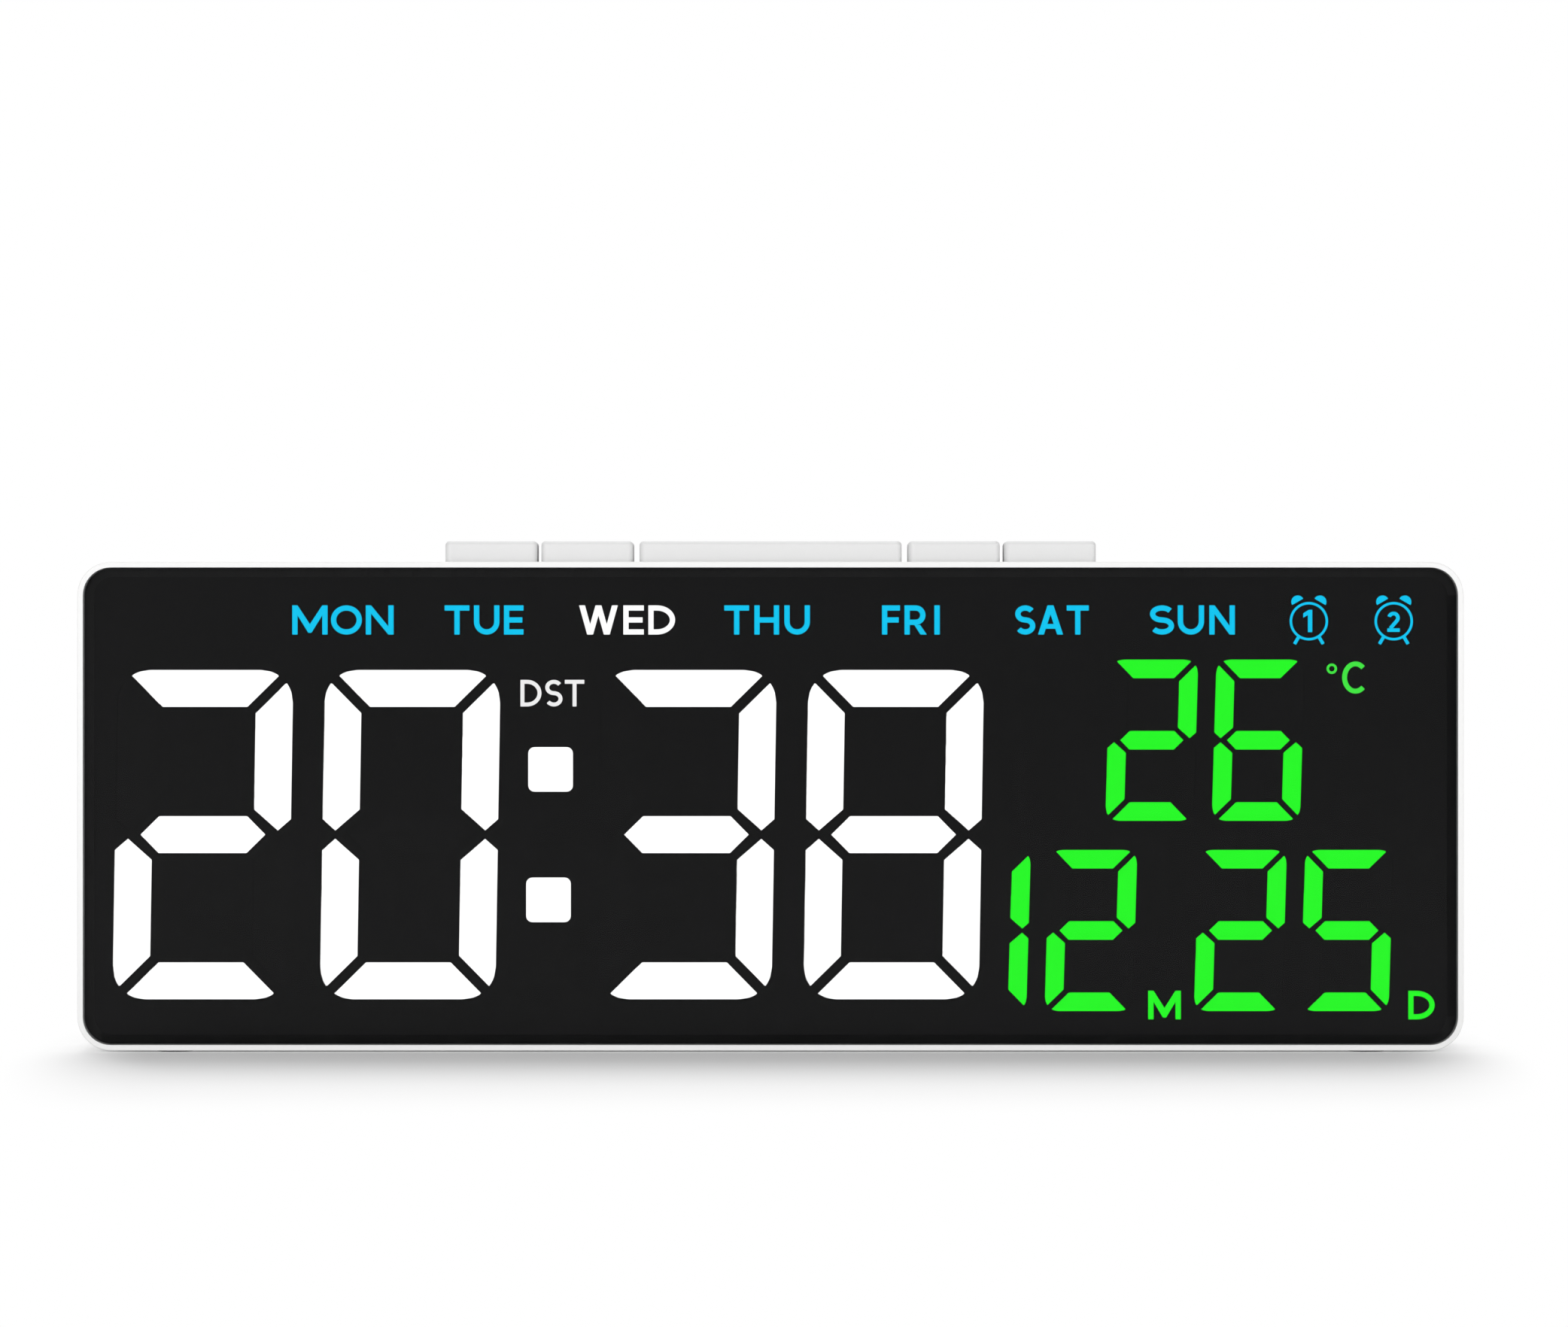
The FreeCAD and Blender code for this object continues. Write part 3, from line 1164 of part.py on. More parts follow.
doc.recompute()
for item in doc.Objects:
    if {"Invalid", "Error"} & set(item.State):
        raise RuntimeError(f"{item.Label} failed: {item.State}")
for node in nodes:
    if node.Shape.isNull() or not node.Shape.isValid() or not node.Shape.Solids:
        raise RuntimeError(f"{node.Label} has no valid solid")

os.makedirs("parts", exist_ok=True)
for node in nodes:
    node.Shape.exportStep(f"parts/{node.Label}.step")
    print(f"{node.Label}: {len(node.Shape.Solids)} solids, {node.Shape.Volume:.1f} mm3")
print(f"{len(nodes)} sub-parts")
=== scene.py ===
"""Looks of the day clock: moulded white case, smoked lens and the lit seven-segment display."""

from __future__ import annotations

import logging
import math
from dataclasses import dataclass, field
from enum import Enum
from typing import Mapping, Sequence

import bpy
import numpy as np
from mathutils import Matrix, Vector

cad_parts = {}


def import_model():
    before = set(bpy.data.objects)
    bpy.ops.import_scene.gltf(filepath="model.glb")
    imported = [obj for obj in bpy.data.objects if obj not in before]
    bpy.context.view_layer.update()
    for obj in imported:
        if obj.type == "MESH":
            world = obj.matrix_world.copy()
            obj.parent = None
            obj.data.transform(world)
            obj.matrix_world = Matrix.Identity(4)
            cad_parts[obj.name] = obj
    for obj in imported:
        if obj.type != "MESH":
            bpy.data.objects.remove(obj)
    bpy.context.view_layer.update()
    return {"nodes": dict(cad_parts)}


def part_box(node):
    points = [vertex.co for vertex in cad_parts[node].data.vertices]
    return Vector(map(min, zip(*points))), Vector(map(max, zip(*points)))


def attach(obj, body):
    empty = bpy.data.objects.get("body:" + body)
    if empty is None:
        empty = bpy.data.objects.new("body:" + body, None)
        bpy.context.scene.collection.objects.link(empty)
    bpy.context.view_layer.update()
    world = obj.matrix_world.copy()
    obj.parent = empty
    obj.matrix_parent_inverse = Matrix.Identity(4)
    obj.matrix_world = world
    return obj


LOG = logging.getLogger("day_clock")
MM = 0.001
CASE_BODY = "case"

Number = float | int
Colour = tuple[float, float, float]
Point = tuple[float, float]
Axes = tuple[float, float, float]
Grid = tuple[np.ndarray, np.ndarray]
Solid = tuple[np.ndarray, list[list[int]]]
Letters = tuple[tuple[str, float, float], ...]


# ---- shader maths ------------------------------------------------

@dataclass(frozen=True, eq=False)
class Signal:
    """A shader value on an output socket; arithmetic on it adds Math nodes to its graph."""

    graph: Graph
    socket: bpy.types.NodeSocket

    def _math(self, operation: str, first: Signal | Number, second: Signal | Number) -> Signal:
        """Add a Math node and return its result."""
        return self.graph.node("ShaderNodeMath", {"operation": operation}, {0: first, 1: second})

    def __add__(self, other: Signal | Number) -> Signal:
        """Sum."""
        return self._math("ADD", self, other)

    def __radd__(self, other: Number) -> Signal:
        """Sum, reflected."""
        return self._math("ADD", other, self)

    def __sub__(self, other: Signal | Number) -> Signal:
        """Difference."""
        return self._math("SUBTRACT", self, other)

    def __rsub__(self, other: Number) -> Signal:
        """Difference, reflected."""
        return self._math("SUBTRACT", other, self)

    def __mul__(self, other: Signal | Number) -> Signal:
        """Product."""
        return self._math("MULTIPLY", self, other)

    def __rmul__(self, other: Number) -> Signal:
        """Product, reflected."""
        return self._math("MULTIPLY", other, self)

    def __truediv__(self, other: Signal | Number) -> Signal:
        """Quotient."""
        return self._math("DIVIDE", self, other)

    def __gt__(self, other: Signal | Number) -> Signal:
        """One where this is greater, else zero."""
        return self._math("GREATER_THAN", self, other)

    def __lt__(self, other: Signal | Number) -> Signal:
        """One where this is less, else zero."""
        return self._math("LESS_THAN", self, other)

    def __abs__(self) -> Signal:
        """Size without sign."""
        return self._math("ABSOLUTE", self, 0.0)

    def root(self) -> Signal:
        """Square root."""
        return self._math("SQRT", self, 0.0)

    def part(self) -> Signal:
        """What is left over above the whole number below."""
        return self._math("FRACT", self, 0.0)

    def clamped(self) -> Signal:
        """Held between zero and one."""
        return self._math("MINIMUM", self._math("MAXIMUM", self, 0.0), 1.0)

    def eased(self) -> Signal:
        """Held between zero and one, with a soft start and end: 3 t squared - 2 t cubed."""
        held = self.clamped()
        return held * held * (3.0 - 2.0 * held)


@dataclass(frozen=True)
class Blots:
    """Cloudy noise: the size of its blots, its finer layers, and how much denser it is along each axis."""

    size: float
    detail: float = 2.0
    stretch: Axes = (1.0, 1.0, 1.0)


class Graph:
    """The node tree of one material or world, empty but for its output."""

    mirror_share: float = 0.45

    def __init__(self, tree: bpy.types.NodeTree, output_type: str = "ShaderNodeOutputMaterial") -> None:
        """Clear a tree and give it an output node.

        Args:
            tree: the tree to fill.
            output_type: the kind of output node.
        """
        self.tree = tree
        tree.nodes.clear()
        self.output = tree.nodes.new(output_type)

    def node(self, kind: str, settings: Mapping[str, object] | None = None,
             inputs: Mapping[str | int, object] | None = None, output: str | int = 0) -> Signal:
        """Add a node; every node but the output comes from here.

        Args:
            kind: the node's type.
            settings: its properties, set first.
            inputs: socket name or index to a value or a Signal.
            output: name or index of the output that is returned.

        Returns:
            The chosen output as a Signal.
        """
        made = self.tree.nodes.new(kind)
        for key, setting in (settings or {}).items():
            setattr(made, key, setting)
        for key, given in (inputs or {}).items():
            if isinstance(given, Signal):
                self.tree.links.new(given.socket, made.inputs[key])
            else:
                made.inputs[key].default_value = given
        return Signal(self, made.outputs[output])

    def finish(self, surface: Signal) -> None:
        """Send a shader to the output."""
        self.tree.links.new(surface.socket, self.output.inputs["Surface"])

    def straight_or_mirrored(self) -> Signal:
        """Tell the rays that see the surroundings from those that only light things.

        Returns:
            One for a ray from the camera or through glass, and a share of one for a mirrored ray.
        """
        camera = self.node("ShaderNodeLightPath", output="Is Camera Ray")
        through = self.node("ShaderNodeLightPath", output="Is Transmission Ray")
        mirrored = self.node("ShaderNodeLightPath", output="Is Glossy Ray")
        return (camera + through + self.mirror_share * mirrored).clamped()

    def place(self) -> Signal:
        """Where a point lies on the object, in metres."""
        return self.node("ShaderNodeTexCoord", output="Object")

    def along(self, axis: str) -> Signal:
        """One coordinate of the point, X, Y or Z."""
        return self.node("ShaderNodeSeparateXYZ", inputs={0: self.place()}, output=axis)

    def noise(self, blots: Blots) -> Signal:
        """Cloudy noise from 0 to 1.

        Args:
            blots: how coarse, how rich and how stretched it is.

        Returns:
            The noise.
        """
        spot = self.node("ShaderNodeMapping", inputs={"Vector": self.place(), "Scale": blots.stretch})
        look = {"Vector": spot, "Scale": 1.0 / blots.size, "Detail": blots.detail}
        return self.node("ShaderNodeTexNoise", inputs=look)

    def mix(self, share: Signal, first: Signal | Colour, second: Signal | Colour) -> Signal:
        """Blend two colours.

        Args:
            share: how much of the second colour shows, 0 to 1.
            first: a colour or a Signal.
            second: a colour or a Signal.

        Returns:
            The blended colour.
        """
        ends = {0: share, 6: rgba(first), 7: rgba(second)}
        return self.node("ShaderNodeMix", {"data_type": "RGBA"}, ends, 2)

    def bump(self, height: Signal, depth: float) -> Signal:
        """A normal bent by a height map whose full range is depth metres."""
        return self.node("ShaderNodeBump", inputs={"Height": height, "Distance": depth, "Strength": 1.0})


def rgba(colour: Signal | Colour) -> Signal | tuple[float, float, float, float]:
    """A colour as a socket takes it; a Signal stays as it is."""
    return colour if isinstance(colour, Signal) else (*colour, 1.0)


def tinted(colour: Colour, factor: float) -> Colour:
    """A colour made darker or lighter by a factor."""
    return tuple(channel * factor for channel in colour)


# ---- finishes ----------------------------------------------------

@dataclass(frozen=True)
class Finish:
    """A surface finish; each kind says what goes into the sockets of the usual shader."""

    name: str

    def sockets(self, graph: Graph) -> dict[str, object]:
        """Work out the shader's inputs.

        Args:
            graph: the material's graph, where the nodes go.

        Returns:
            A value or a Signal for each socket.
        """
        raise NotImplementedError

    def material(self) -> bpy.types.Material:
        """Make the material, once for each name.

        Returns:
            The finish as a material.
        """
        known = bpy.data.materials.get(self.name)
        if known is not None and known.get("dressed"):
            return known
        made = bpy.data.materials.new(self.name)
        made.use_nodes = True
        made["dressed"] = True
        graph = Graph(made.node_tree)
        graph.finish(graph.node("ShaderNodeBsdfPrincipled", inputs=self.sockets(graph)))
        return made


@dataclass(frozen=True)
class Clouded(Finish):
    """A surface whose colour runs in clouds between two shades of itself, with a grain in its relief."""

    colour: Colour
    roughness: float
    grain: Blots
    relief: float
    shades: Point
    cloud: Blots
    cloud_swing: float = 0.0
    grain_swing: float = 0.0
    gloss: float = 0.5
    metal: float = 0.0

    def sockets(self, graph: Graph) -> dict[str, object]:
        """Clouds in the colour, grain in the relief, and a roughness that rises with either of them.

        Args:
            graph: the material's graph.

        Returns:
            The shader's inputs.
        """
        cloud, grain = graph.noise(self.cloud), graph.noise(self.grain)
        low, high = self.shades
        return {
            "Base Color": graph.mix(cloud, tinted(self.colour, low), tinted(self.colour, high)),
            "Metallic": self.metal,
            "Roughness": self.roughness + self.cloud_swing * cloud + self.grain_swing * grain,
            "Specular IOR Level": self.gloss,
            "Normal": graph.bump(grain, self.relief),
        }


@dataclass(frozen=True)
class MouldedPlastic(Clouded):
    """Injection-moulded plastic with a fine spark-eroded grain and faint flow marks."""

    colour: Colour = (0.86, 0.86, 0.85)
    roughness: float = 0.5
    grain: Blots = Blots(0.35 * MM)
    relief: float = 0.012 * MM
    shades: Point = (0.98, 1.0)
    cloud: Blots = Blots(28 * MM, 2.0, (0.5, 1.0, 1.4))
    cloud_swing: float = 0.1
    gloss: float = 0.35


@dataclass(frozen=True)
class SeamedPlastic(MouldedPlastic):
    """Moulded plastic with a parting line, where the two halves of the shell meet: a shallow groove in the
    relief, with painted shade of the gap darkening its colour.
    """

    seam_y: float = -5.0 * MM
    seam_width: float = 0.16 * MM
    # how much and how deep the painted shade in the seam is, standing in for the shadow in the gap
    seam_painted_shade_share: float = 0.55
    seam_painted_shade: float = 0.25
    seam_depth: float = 4.0

    def sockets(self, graph: Graph) -> dict[str, object]:
        """The plastic, lower within the width of the line, and darker there with painted shade of the gap.

        Args:
            graph: the material's graph.

        Returns:
            The shader's inputs.
        """
        plain = super().sockets(graph)
        groove_with_painted_shade = abs(graph.along("Y") - self.seam_y) < self.seam_width / 2
        # painted shade: the colour inside the seam is darkened to stand in for the shadow in the gap between
        # the halves
        dark = tinted(self.colour, self.seam_painted_shade)
        height = graph.noise(self.grain) - groove_with_painted_shade * self.seam_depth
        return {
            **plain,
            "Base Color": graph.mix(groove_with_painted_shade * self.seam_painted_shade_share, plain["Base Color"], dark),
            "Normal": graph.bump(height, self.relief),
        }


@dataclass(frozen=True)
class MilkyDiffuser(Clouded):
    """Smoke-tinted milky plastic that fills the reflector's wells; dark while its lamp is off."""

    colour: Colour = (0.006, 0.006, 0.006)
    roughness: float = 0.5
    grain: Blots = Blots(1.2 * MM, 3.0)
    relief: float = 0.01 * MM
    shades: Point = (1.0, 1.2)
    cloud: Blots = Blots(1.2 * MM, 3.0)
    cloud_swing: float = 0.1
    gloss: float = 0.1


@dataclass(frozen=True)
class SmokedLens(Clouded):
    """Smoked clear acrylic: dark, polished, and half see-through, with faint surface waviness."""

    colour: Colour = (0.0035, 0.0035, 0.004)
    roughness: float = 0.12
    grain: Blots = Blots(60 * MM, 1.0)
    relief: float = 0.02 * MM
    shades: Point = (1.0, 1.15)
    cloud: Blots = Blots(60 * MM, 1.0)
    cloud_swing: float = 0.03
    gloss: float = 0.25
    cover: float = 0.25

    def sockets(self, graph: Graph) -> dict[str, object]:
        """The dark glossy sheet, with a plain alpha that lets the lit parts through."""
        return {**super().sockets(graph), "Alpha": self.cover}


@dataclass(frozen=True)
class PrintedFilm(Clouded):
    """Matt black print on clear film, with the slight unevenness of a screen print."""

    colour: Colour = (0.006, 0.006, 0.006)
    roughness: float = 0.6
    grain: Blots = Blots(0.4 * MM)
    relief: float = 0.006 * MM
    shades: Point = (1.0, 1.1)
    cloud: Blots = Blots(45 * MM, 1.0)
    grain_swing: float = 0.08
    gloss: float = 0.1


@dataclass(frozen=True)
class PlatedMetal(Clouded):
    """Drawn or turned metal with fine brush lines and slightly uneven plating."""

    colour: Colour = (0.62, 0.62, 0.63)
    roughness: float = 0.28
    grain: Blots = Blots(0.6 * MM, 2.0, (1.0, 12.0, 12.0))
    relief: float = 0.004 * MM
    shades: Point = (0.86, 1.0)
    cloud: Blots = Blots(4.0 * MM)
    grain_swing: float = 0.16
    metal: float = 1.0


@dataclass(frozen=True)
class SoftRubber(Clouded):
    """Matt moulded rubber with a dusty bloom."""

    colour: Colour = (0.055, 0.055, 0.055)
    roughness: float = 0.78
    grain: Blots = Blots(0.25 * MM)
    relief: float = 0.02 * MM
    shades: Point = (1.0, 1.7)
    cloud: Blots = Blots(2.5 * MM, 3.0)
    cloud_swing: float = 0.12


@dataclass(frozen=True)
class LitFace(Finish):
    """A diffuser face with its lamp on: even light with the faint cloudiness of the resin."""

    colour: Colour = (1.0, 1.0, 1.0)
    strength: float = 1.85
    dimmest: float = 0.95
    body: float = 0.3
    roughness: float = 0.45
    swing: float = 0.1
    gloss: float = 0.1
    cloud: Blots = Blots(3.0 * MM)

    def sockets(self, graph: Graph) -> dict[str, object]:
        """Light whose colour dips slightly where the resin is thicker.

        Args:
            graph: the material's graph.

        Returns:
            The shader's inputs.
        """
        cloud = graph.noise(self.cloud)
        return {
            "Base Color": rgba(tinted(self.colour, self.body)),
            "Roughness": self.roughness + self.swing * cloud,
            "Specular IOR Level": self.gloss,
            "Emission Color": graph.mix(cloud, tinted(self.colour, self.dimmest), self.colour),
            "Emission Strength": self.strength,
        }


@dataclass(frozen=True)
class CircuitBoard(Finish):
    """Green solder mask over copper tracks and plated pads."""

    mask: Colour = (0.012, 0.10, 0.045)
    track: Colour = (0.03, 0.19, 0.08)
    pitch: float = 2.54 * MM
    track_share: float = 0.14
    runs: Blots = Blots(9 * MM, 0.0)
    across_above: float = 0.5
    up_below: float = 0.47
    grain: Blots = Blots(0.5 * MM)
    grain_height: float = 0.2
    relief: float = 0.03 * MM
    roughness: float = 0.3
    swing: float = 0.12

    def sockets(self, graph: Graph) -> dict[str, object]:
        """Tracks as a grid of thin lines, broken up by noise so that few of them cross.

        Args:
            graph: the material's graph.

        Returns:
            The shader's inputs.
        """
        across = abs(self._saw(graph, "X")) < self.track_share
        up = abs(self._saw(graph, "Z")) < self.track_share
        runs = graph.noise(self.runs)
        tracks = (across * (runs > self.across_above) + up * (runs < self.up_below)).clamped()
        grain = graph.noise(self.grain)
        return {
            "Base Color": graph.mix(tracks, self.mask, self.track),
            "Roughness": self.roughness + self.swing * grain,
            "Normal": graph.bump(tracks + self.grain_height * grain, self.relief),
        }

    def _saw(self, graph: Graph, axis: str) -> Signal:
        """A value that runs from -0.5 to 0.5 over each pitch of the board's grid."""
        return (graph.along(axis) / self.pitch).part() - 0.5


@dataclass(frozen=True)
class CellJacket(Finish):
    """A battery's printed sleeve: a dark band, a pale band towards the tip, and bare metal at both ends."""

    foot_x: float
    length: float
    tip: int
    dark: Colour = (0.03, 0.035, 0.045)
    pale: Colour = (0.42, 0.44, 0.47)
    metal: Colour = (0.72, 0.72, 0.72)
    dark_share: float = 0.72
    bare_foot: float = 1.2 * MM
    bare_tip: float = 2.2 * MM
    print_shine: float = 0.35
    metal_shine: float = 0.6
    scuff: Blots = Blots(1.5 * MM, 3.0, (0.3, 1.0, 1.0))
    relief: float = 0.01 * MM
    roughness: float = 0.3
    swing: float = 0.15

    def sockets(self, graph: Graph) -> dict[str, object]:
        """Bands that follow the cell's own axis, X, each from how far a point lies from the cell's foot.

        Args:
            graph: the material's graph.

        Returns:
            The shader's inputs.
        """
        reach = self.tip * (graph.along("X") - self.foot_x)
        pale = reach > self.dark_share * self.length
        bare = ((reach < self.bare_foot) + (reach > self.length - self.bare_tip)).clamped()
        scuff = graph.noise(self.scuff)
        return {
            "Base Color": graph.mix(bare, graph.mix(pale, self.dark, self.pale), self.metal),
            "Metallic": self.print_shine + self.metal_shine * bare,
            "Roughness": self.roughness + self.swing * scuff,
            "Normal": graph.bump(scuff, self.relief),
        }


class Glow(Enum):
    """Colours that the display lights up in."""

    WHITE = LitFace("glow_white", (1.0, 1.0, 1.0))
    WORD_WHITE = LitFace("glow_word_white", (1.0, 1.0, 1.0), 1.62)
    DIM_WHITE = LitFace("glow_dim_white", (0.77, 0.77, 0.77))
    GREEN = LitFace("glow_green", (0.013, 0.825, 0.013))
    DIM_GREEN = LitFace("glow_dim_green", (0.045, 0.69, 0.045))
    CYAN = LitFace("glow_cyan", (0.0, 0.49, 0.77))


class Dress(Enum):
    """Finishes of the case and of what it holds."""

    CASE = SeamedPlastic("white_case", (0.865, 0.865, 0.86))
    COVER_PARTS = MouldedPlastic("white_cover_parts", (0.855, 0.855, 0.85))
    KEYS = MouldedPlastic("key_plastic", (0.74, 0.74, 0.74), 0.45)
    LENS = SmokedLens("smoked_lens")
    FILM = PrintedFilm("black_print")
    DIFFUSER = MilkyDiffuser("milky_diffuser")
    TAPE = MouldedPlastic("foam_tape", (0.012, 0.012, 0.012), 0.85, Blots(0.5 * MM), 0.05 * MM)
    REFLECTOR = MouldedPlastic("reflector_white", (0.78, 0.78, 0.76), 0.45)
    BOARD = CircuitBoard("solder_mask")
    RESIN = MouldedPlastic("lamp_resin", (0.75, 0.70, 0.42), 0.15, Blots(0.4 * MM), 0.004 * MM)
    STEEL = PlatedMetal("zinc_steel", (0.60, 0.61, 0.63), 0.3)
    NICKEL = PlatedMetal("nickel_contact", (0.66, 0.63, 0.58), 0.26, Blots(0.6 * MM, 2.0, (12.0, 12.0, 1.0)))
    SHELL = PlatedMetal("drawn_shell", (0.58, 0.58, 0.60), 0.22, Blots(0.6 * MM, 2.0, (12.0, 1.0, 12.0)))
    EPOXY = MouldedPlastic("black_epoxy", (0.022, 0.022, 0.024), 0.5, Blots(0.3 * MM), 0.01 * MM, (0.8, 1.0))
    BLACK = MouldedPlastic("black_housing", (0.028, 0.028, 0.03), 0.4, Blots(0.3 * MM), 0.01 * MM, (0.8, 1.0))
    NYLON = MouldedPlastic("nylon", (0.74, 0.71, 0.62), 0.43)
    RUBBER = SoftRubber("soft_rubber")
    LEAD = MouldedPlastic("lead_sleeve", (0.42, 0.02, 0.018), 0.35, Blots(0.4 * MM), 0.01 * MM, (0.85, 1.0))


# ---- surfaces from arrays ----------------------------------------

def grid_slab(across: np.ndarray, up: np.ndarray, front: float, back: float, closed: bool = False) -> Solid:
    """A flat slab from a grid of points: the grid in front, the same grid behind, and a wall round both.

    Args:
        across: X of each grid point, rows by columns; with the columns running right, the rows rise.
        up: Z of each grid point.
        front: Y of the face that looks to -Y.
        back: Y of the other face.
        closed: whether the last column joins the first, as in a ring.

    Returns:
        The vertices, and the faces as lists of vertex numbers.
    """
    size = across.size
    depth = np.repeat([front, back], size)
    points = np.stack([np.tile(across.ravel(), 2), depth, np.tile(up.ravel(), 2)], axis=1)
    number = np.arange(size).reshape(across.shape)
    if closed:
        number = np.concatenate([number, number[:, :1]], axis=1)
    near = np.stack([number[:-1, :-1], number[:-1, 1:], number[1:, 1:], number[1:, :-1]], axis=-1)
    near = near.reshape(-1, 4)
    far = near[:, ::-1] + size
    if closed:
        rim = np.concatenate([number[0, :-1], number[-1, :0:-1]])
        after = np.concatenate([number[0, 1:], number[-1, -2::-1]])
    else:
        rim = np.concatenate([number[0, :-1], number[:-1, -1], number[-1, :0:-1], number[:0:-1, 0]])
        after = np.roll(rim, -1)
    wall = np.stack([rim, rim + size, after + size, after], axis=1)
    return points, np.concatenate([near, far, wall]).tolist()


def light_up(name: str, solids: Sequence[Solid], glow: Glow) -> None:
    """Make one lit piece from several solids; it rides on the case and throws no light on the floor.

    Args:
        name: the piece's name.
        solids: vertices and faces of each solid.
        glow: the colour that it shines in.
    """
    starts = np.cumsum([0] + [len(points) for points, group in solids[:-1]])
    points = np.concatenate([points for points, group in solids])
    faces = [(np.array(face) + start).tolist()
             for (_, group), start in zip(solids, starts) for face in group]
    mesh = bpy.data.meshes.new(name)
    mesh.from_pydata(points.tolist(), [], faces)
    mesh.materials.append(glow.value.material())
    made = bpy.data.objects.new(name, mesh)
    bpy.context.scene.collection.objects.link(made)
    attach(made, CASE_BODY)
    made.visible_diffuse = False
    LOG.info("piece %s: %d faces", name, len(mesh.polygons))


# ---- seven-segment digits ----------------------------------------

@dataclass(frozen=True)
class DigitStyle:
    """Sizes of one family of digits, in metres."""

    stroke: float
    gap: float
    corner: float
    lean: float
    width: float
    height: float
    tip_share: float = 0.65
    tip_slope: float = 0.88
    bar_cut: float = 0.4 * MM


BIG = DigitStyle(stroke=6.95 * MM, gap=1.65 * MM, corner=6.1 * MM, lean=0.016, width=33.0 * MM,
                 height=61.9 * MM)
SMALL = DigitStyle(stroke=3.5 * MM, gap=0.8 * MM, corner=2.6 * MM, lean=0.029, width=16.6 * MM,
                   height=30.3 * MM)

SEGMENTS_OF = {
    "0": "abcdef", "1": "bc", "2": "abged", "3": "abgcd", "4": "fgbc", "5": "afgcd", "6": "afgecd",
    "7": "abc", "8": "abcdefg", "9": "abcdfg",
}


@dataclass
class SegmentShapes:
    """The seven segments of one digit style, each a grid about the digit's centre."""

    style: DigitStyle
    rows: int = 25

    def outer_edge(self, offset: np.ndarray, limit: float, reach: float) -> np.ndarray:
        """How far a rounded corner lets a segment reach.

        The corner is a quarter circle: past the point where it starts, the edge falls back by
        r - sqrt(r^2 - t^2), with t the distance past that point.

        Args:
            offset: distance along the other side, from the digit's centre.
            limit: where the other side ends.
            reach: where the side would lie with a sharp corner.

        Returns:
            The reach at each offset.
        """
        past = np.clip(np.abs(offset) - (limit - self.style.corner), 0.0, self.style.corner)
        return reach - self.style.corner + np.sqrt(np.maximum(self.style.corner ** 2 - past ** 2, 0.0))

    def top(self) -> Grid:
        """The top bar: each row runs between the two mitres, cut back by the round corners.

        Returns:
            X and Z of its grid.
        """
        style = self.style
        bevel = style.gap / math.sqrt(2) + style.bar_cut
        height = np.linspace(style.height / 2 - style.stroke, style.height / 2, self.rows)
        mitre = style.width / 2 - bevel - (style.height / 2 - height)
        end = np.minimum(mitre, self.outer_edge(height, style.height / 2, style.width / 2))
        share = np.linspace(-1.0, 1.0, 3)
        return end[:, None] * share[None, :], np.repeat(height[:, None], 3, axis=1)

    def right(self) -> Grid:
        """The upper right bar: each column runs from the pointed end to the mitre.

        Returns:
            X and Z of its grid.
        """
        style = self.style
        bevel = style.gap / math.sqrt(2)
        inner = style.width / 2 - style.stroke
        tip = inner + style.tip_share * style.stroke
        across = np.unique(np.append(np.linspace(inner, style.width / 2, self.rows), tip))
        low = bevel * style.tip_share + style.tip_slope * np.abs(across - tip)
        mitre = style.height / 2 - bevel - (style.width / 2 - across)
        high = np.minimum(mitre, self.outer_edge(across, style.width / 2, style.height / 2))
        share = np.linspace(0.0, 1.0, 3)[:, None]
        return np.repeat(across[None, :], 3, axis=0), low[None, :] + share * (high - low)[None, :]

    def middle(self) -> Grid:
        """The middle bar: a hexagon whose half width falls with the distance from its middle line.

        Returns:
            X and Z of its grid.
        """
        style = self.style
        inner = style.width / 2 - style.stroke
        point = inner + style.tip_share * style.stroke - style.gap * math.sqrt(2)
        height = np.linspace(-style.stroke / 2, style.stroke / 2, 3)
        end = point - np.abs(height)
        share = np.linspace(-1.0, 1.0, 3)
        return end[:, None] * share[None, :], np.repeat(height[:, None], 3, axis=1)

    def grid(self, letter: str) -> Grid:
        """A segment's grid with its rows rising and its columns running right.

        Args:
            letter: the segment, a to g, clockwise from the top and then the middle.

        Returns:
            X and Z of each grid point.
        """
        if letter in "ad":
            across, up = self.top()
        elif letter == "g":
            across, up = self.middle()
        else:
            across, up = self.right()
        if letter in "ef":
            across, up = -across[:, ::-1], up[:, ::-1]
        if letter in "cde":
            across, up = across[::-1], -up[::-1]
        return across + self.style.lean * up, up


@dataclass
class Digit:
    """One digit place of the display and the figure that it shows."""

    name: str
    figure: str
    style: DigitStyle
    glow: Glow
    margin: float = 0.15 * MM

    def centre(self) -> Point:
        """Find the digit's centre from the place of its segments in the frame.

        Returns:
            How far across and how high it lies.
        """
        low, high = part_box(f"{self.name}_segments")
        lean = self.style.lean * self.style.height / 2
        return high.x - self.margin - lean - self.style.width / 2, (low.z + high.z) / 2

    def light(self, layer: Layer) -> None:
        """Light the segments that the figure needs, as one piece.

        Args:
            layer: the layer that the lit faces fill.
        """
        x, z = self.centre()
        shapes = SegmentShapes(self.style)
        grids = [shapes.grid(letter) for letter in SEGMENTS_OF[self.figure]]
        solids = [grid_slab(across + x, up + z, layer.front, layer.back) for across, up in grids]
        light_up(f"lit_{self.name}", solids, self.glow)


# ---- letters and signs -------------------------------------------

def arc(centre: Point, radii: Point, start: float, end: float, steps: int = 28) -> np.ndarray:
    """Points along an ellipse: x = cx + rx cos(a), z = cz + rz sin(a).

    Args:
        centre: its centre across and up.
        radii: half its width and half its height.
        start: first angle in degrees, anticlockwise from the right.
        end: last angle in degrees.
        steps: how many points.

    Returns:
        The points as rows of across and up.
    """
    angle = np.radians(np.linspace(start, end, steps))
    return np.stack([centre[0] + radii[0] * np.cos(angle), centre[1] + radii[1] * np.sin(angle)], axis=1)


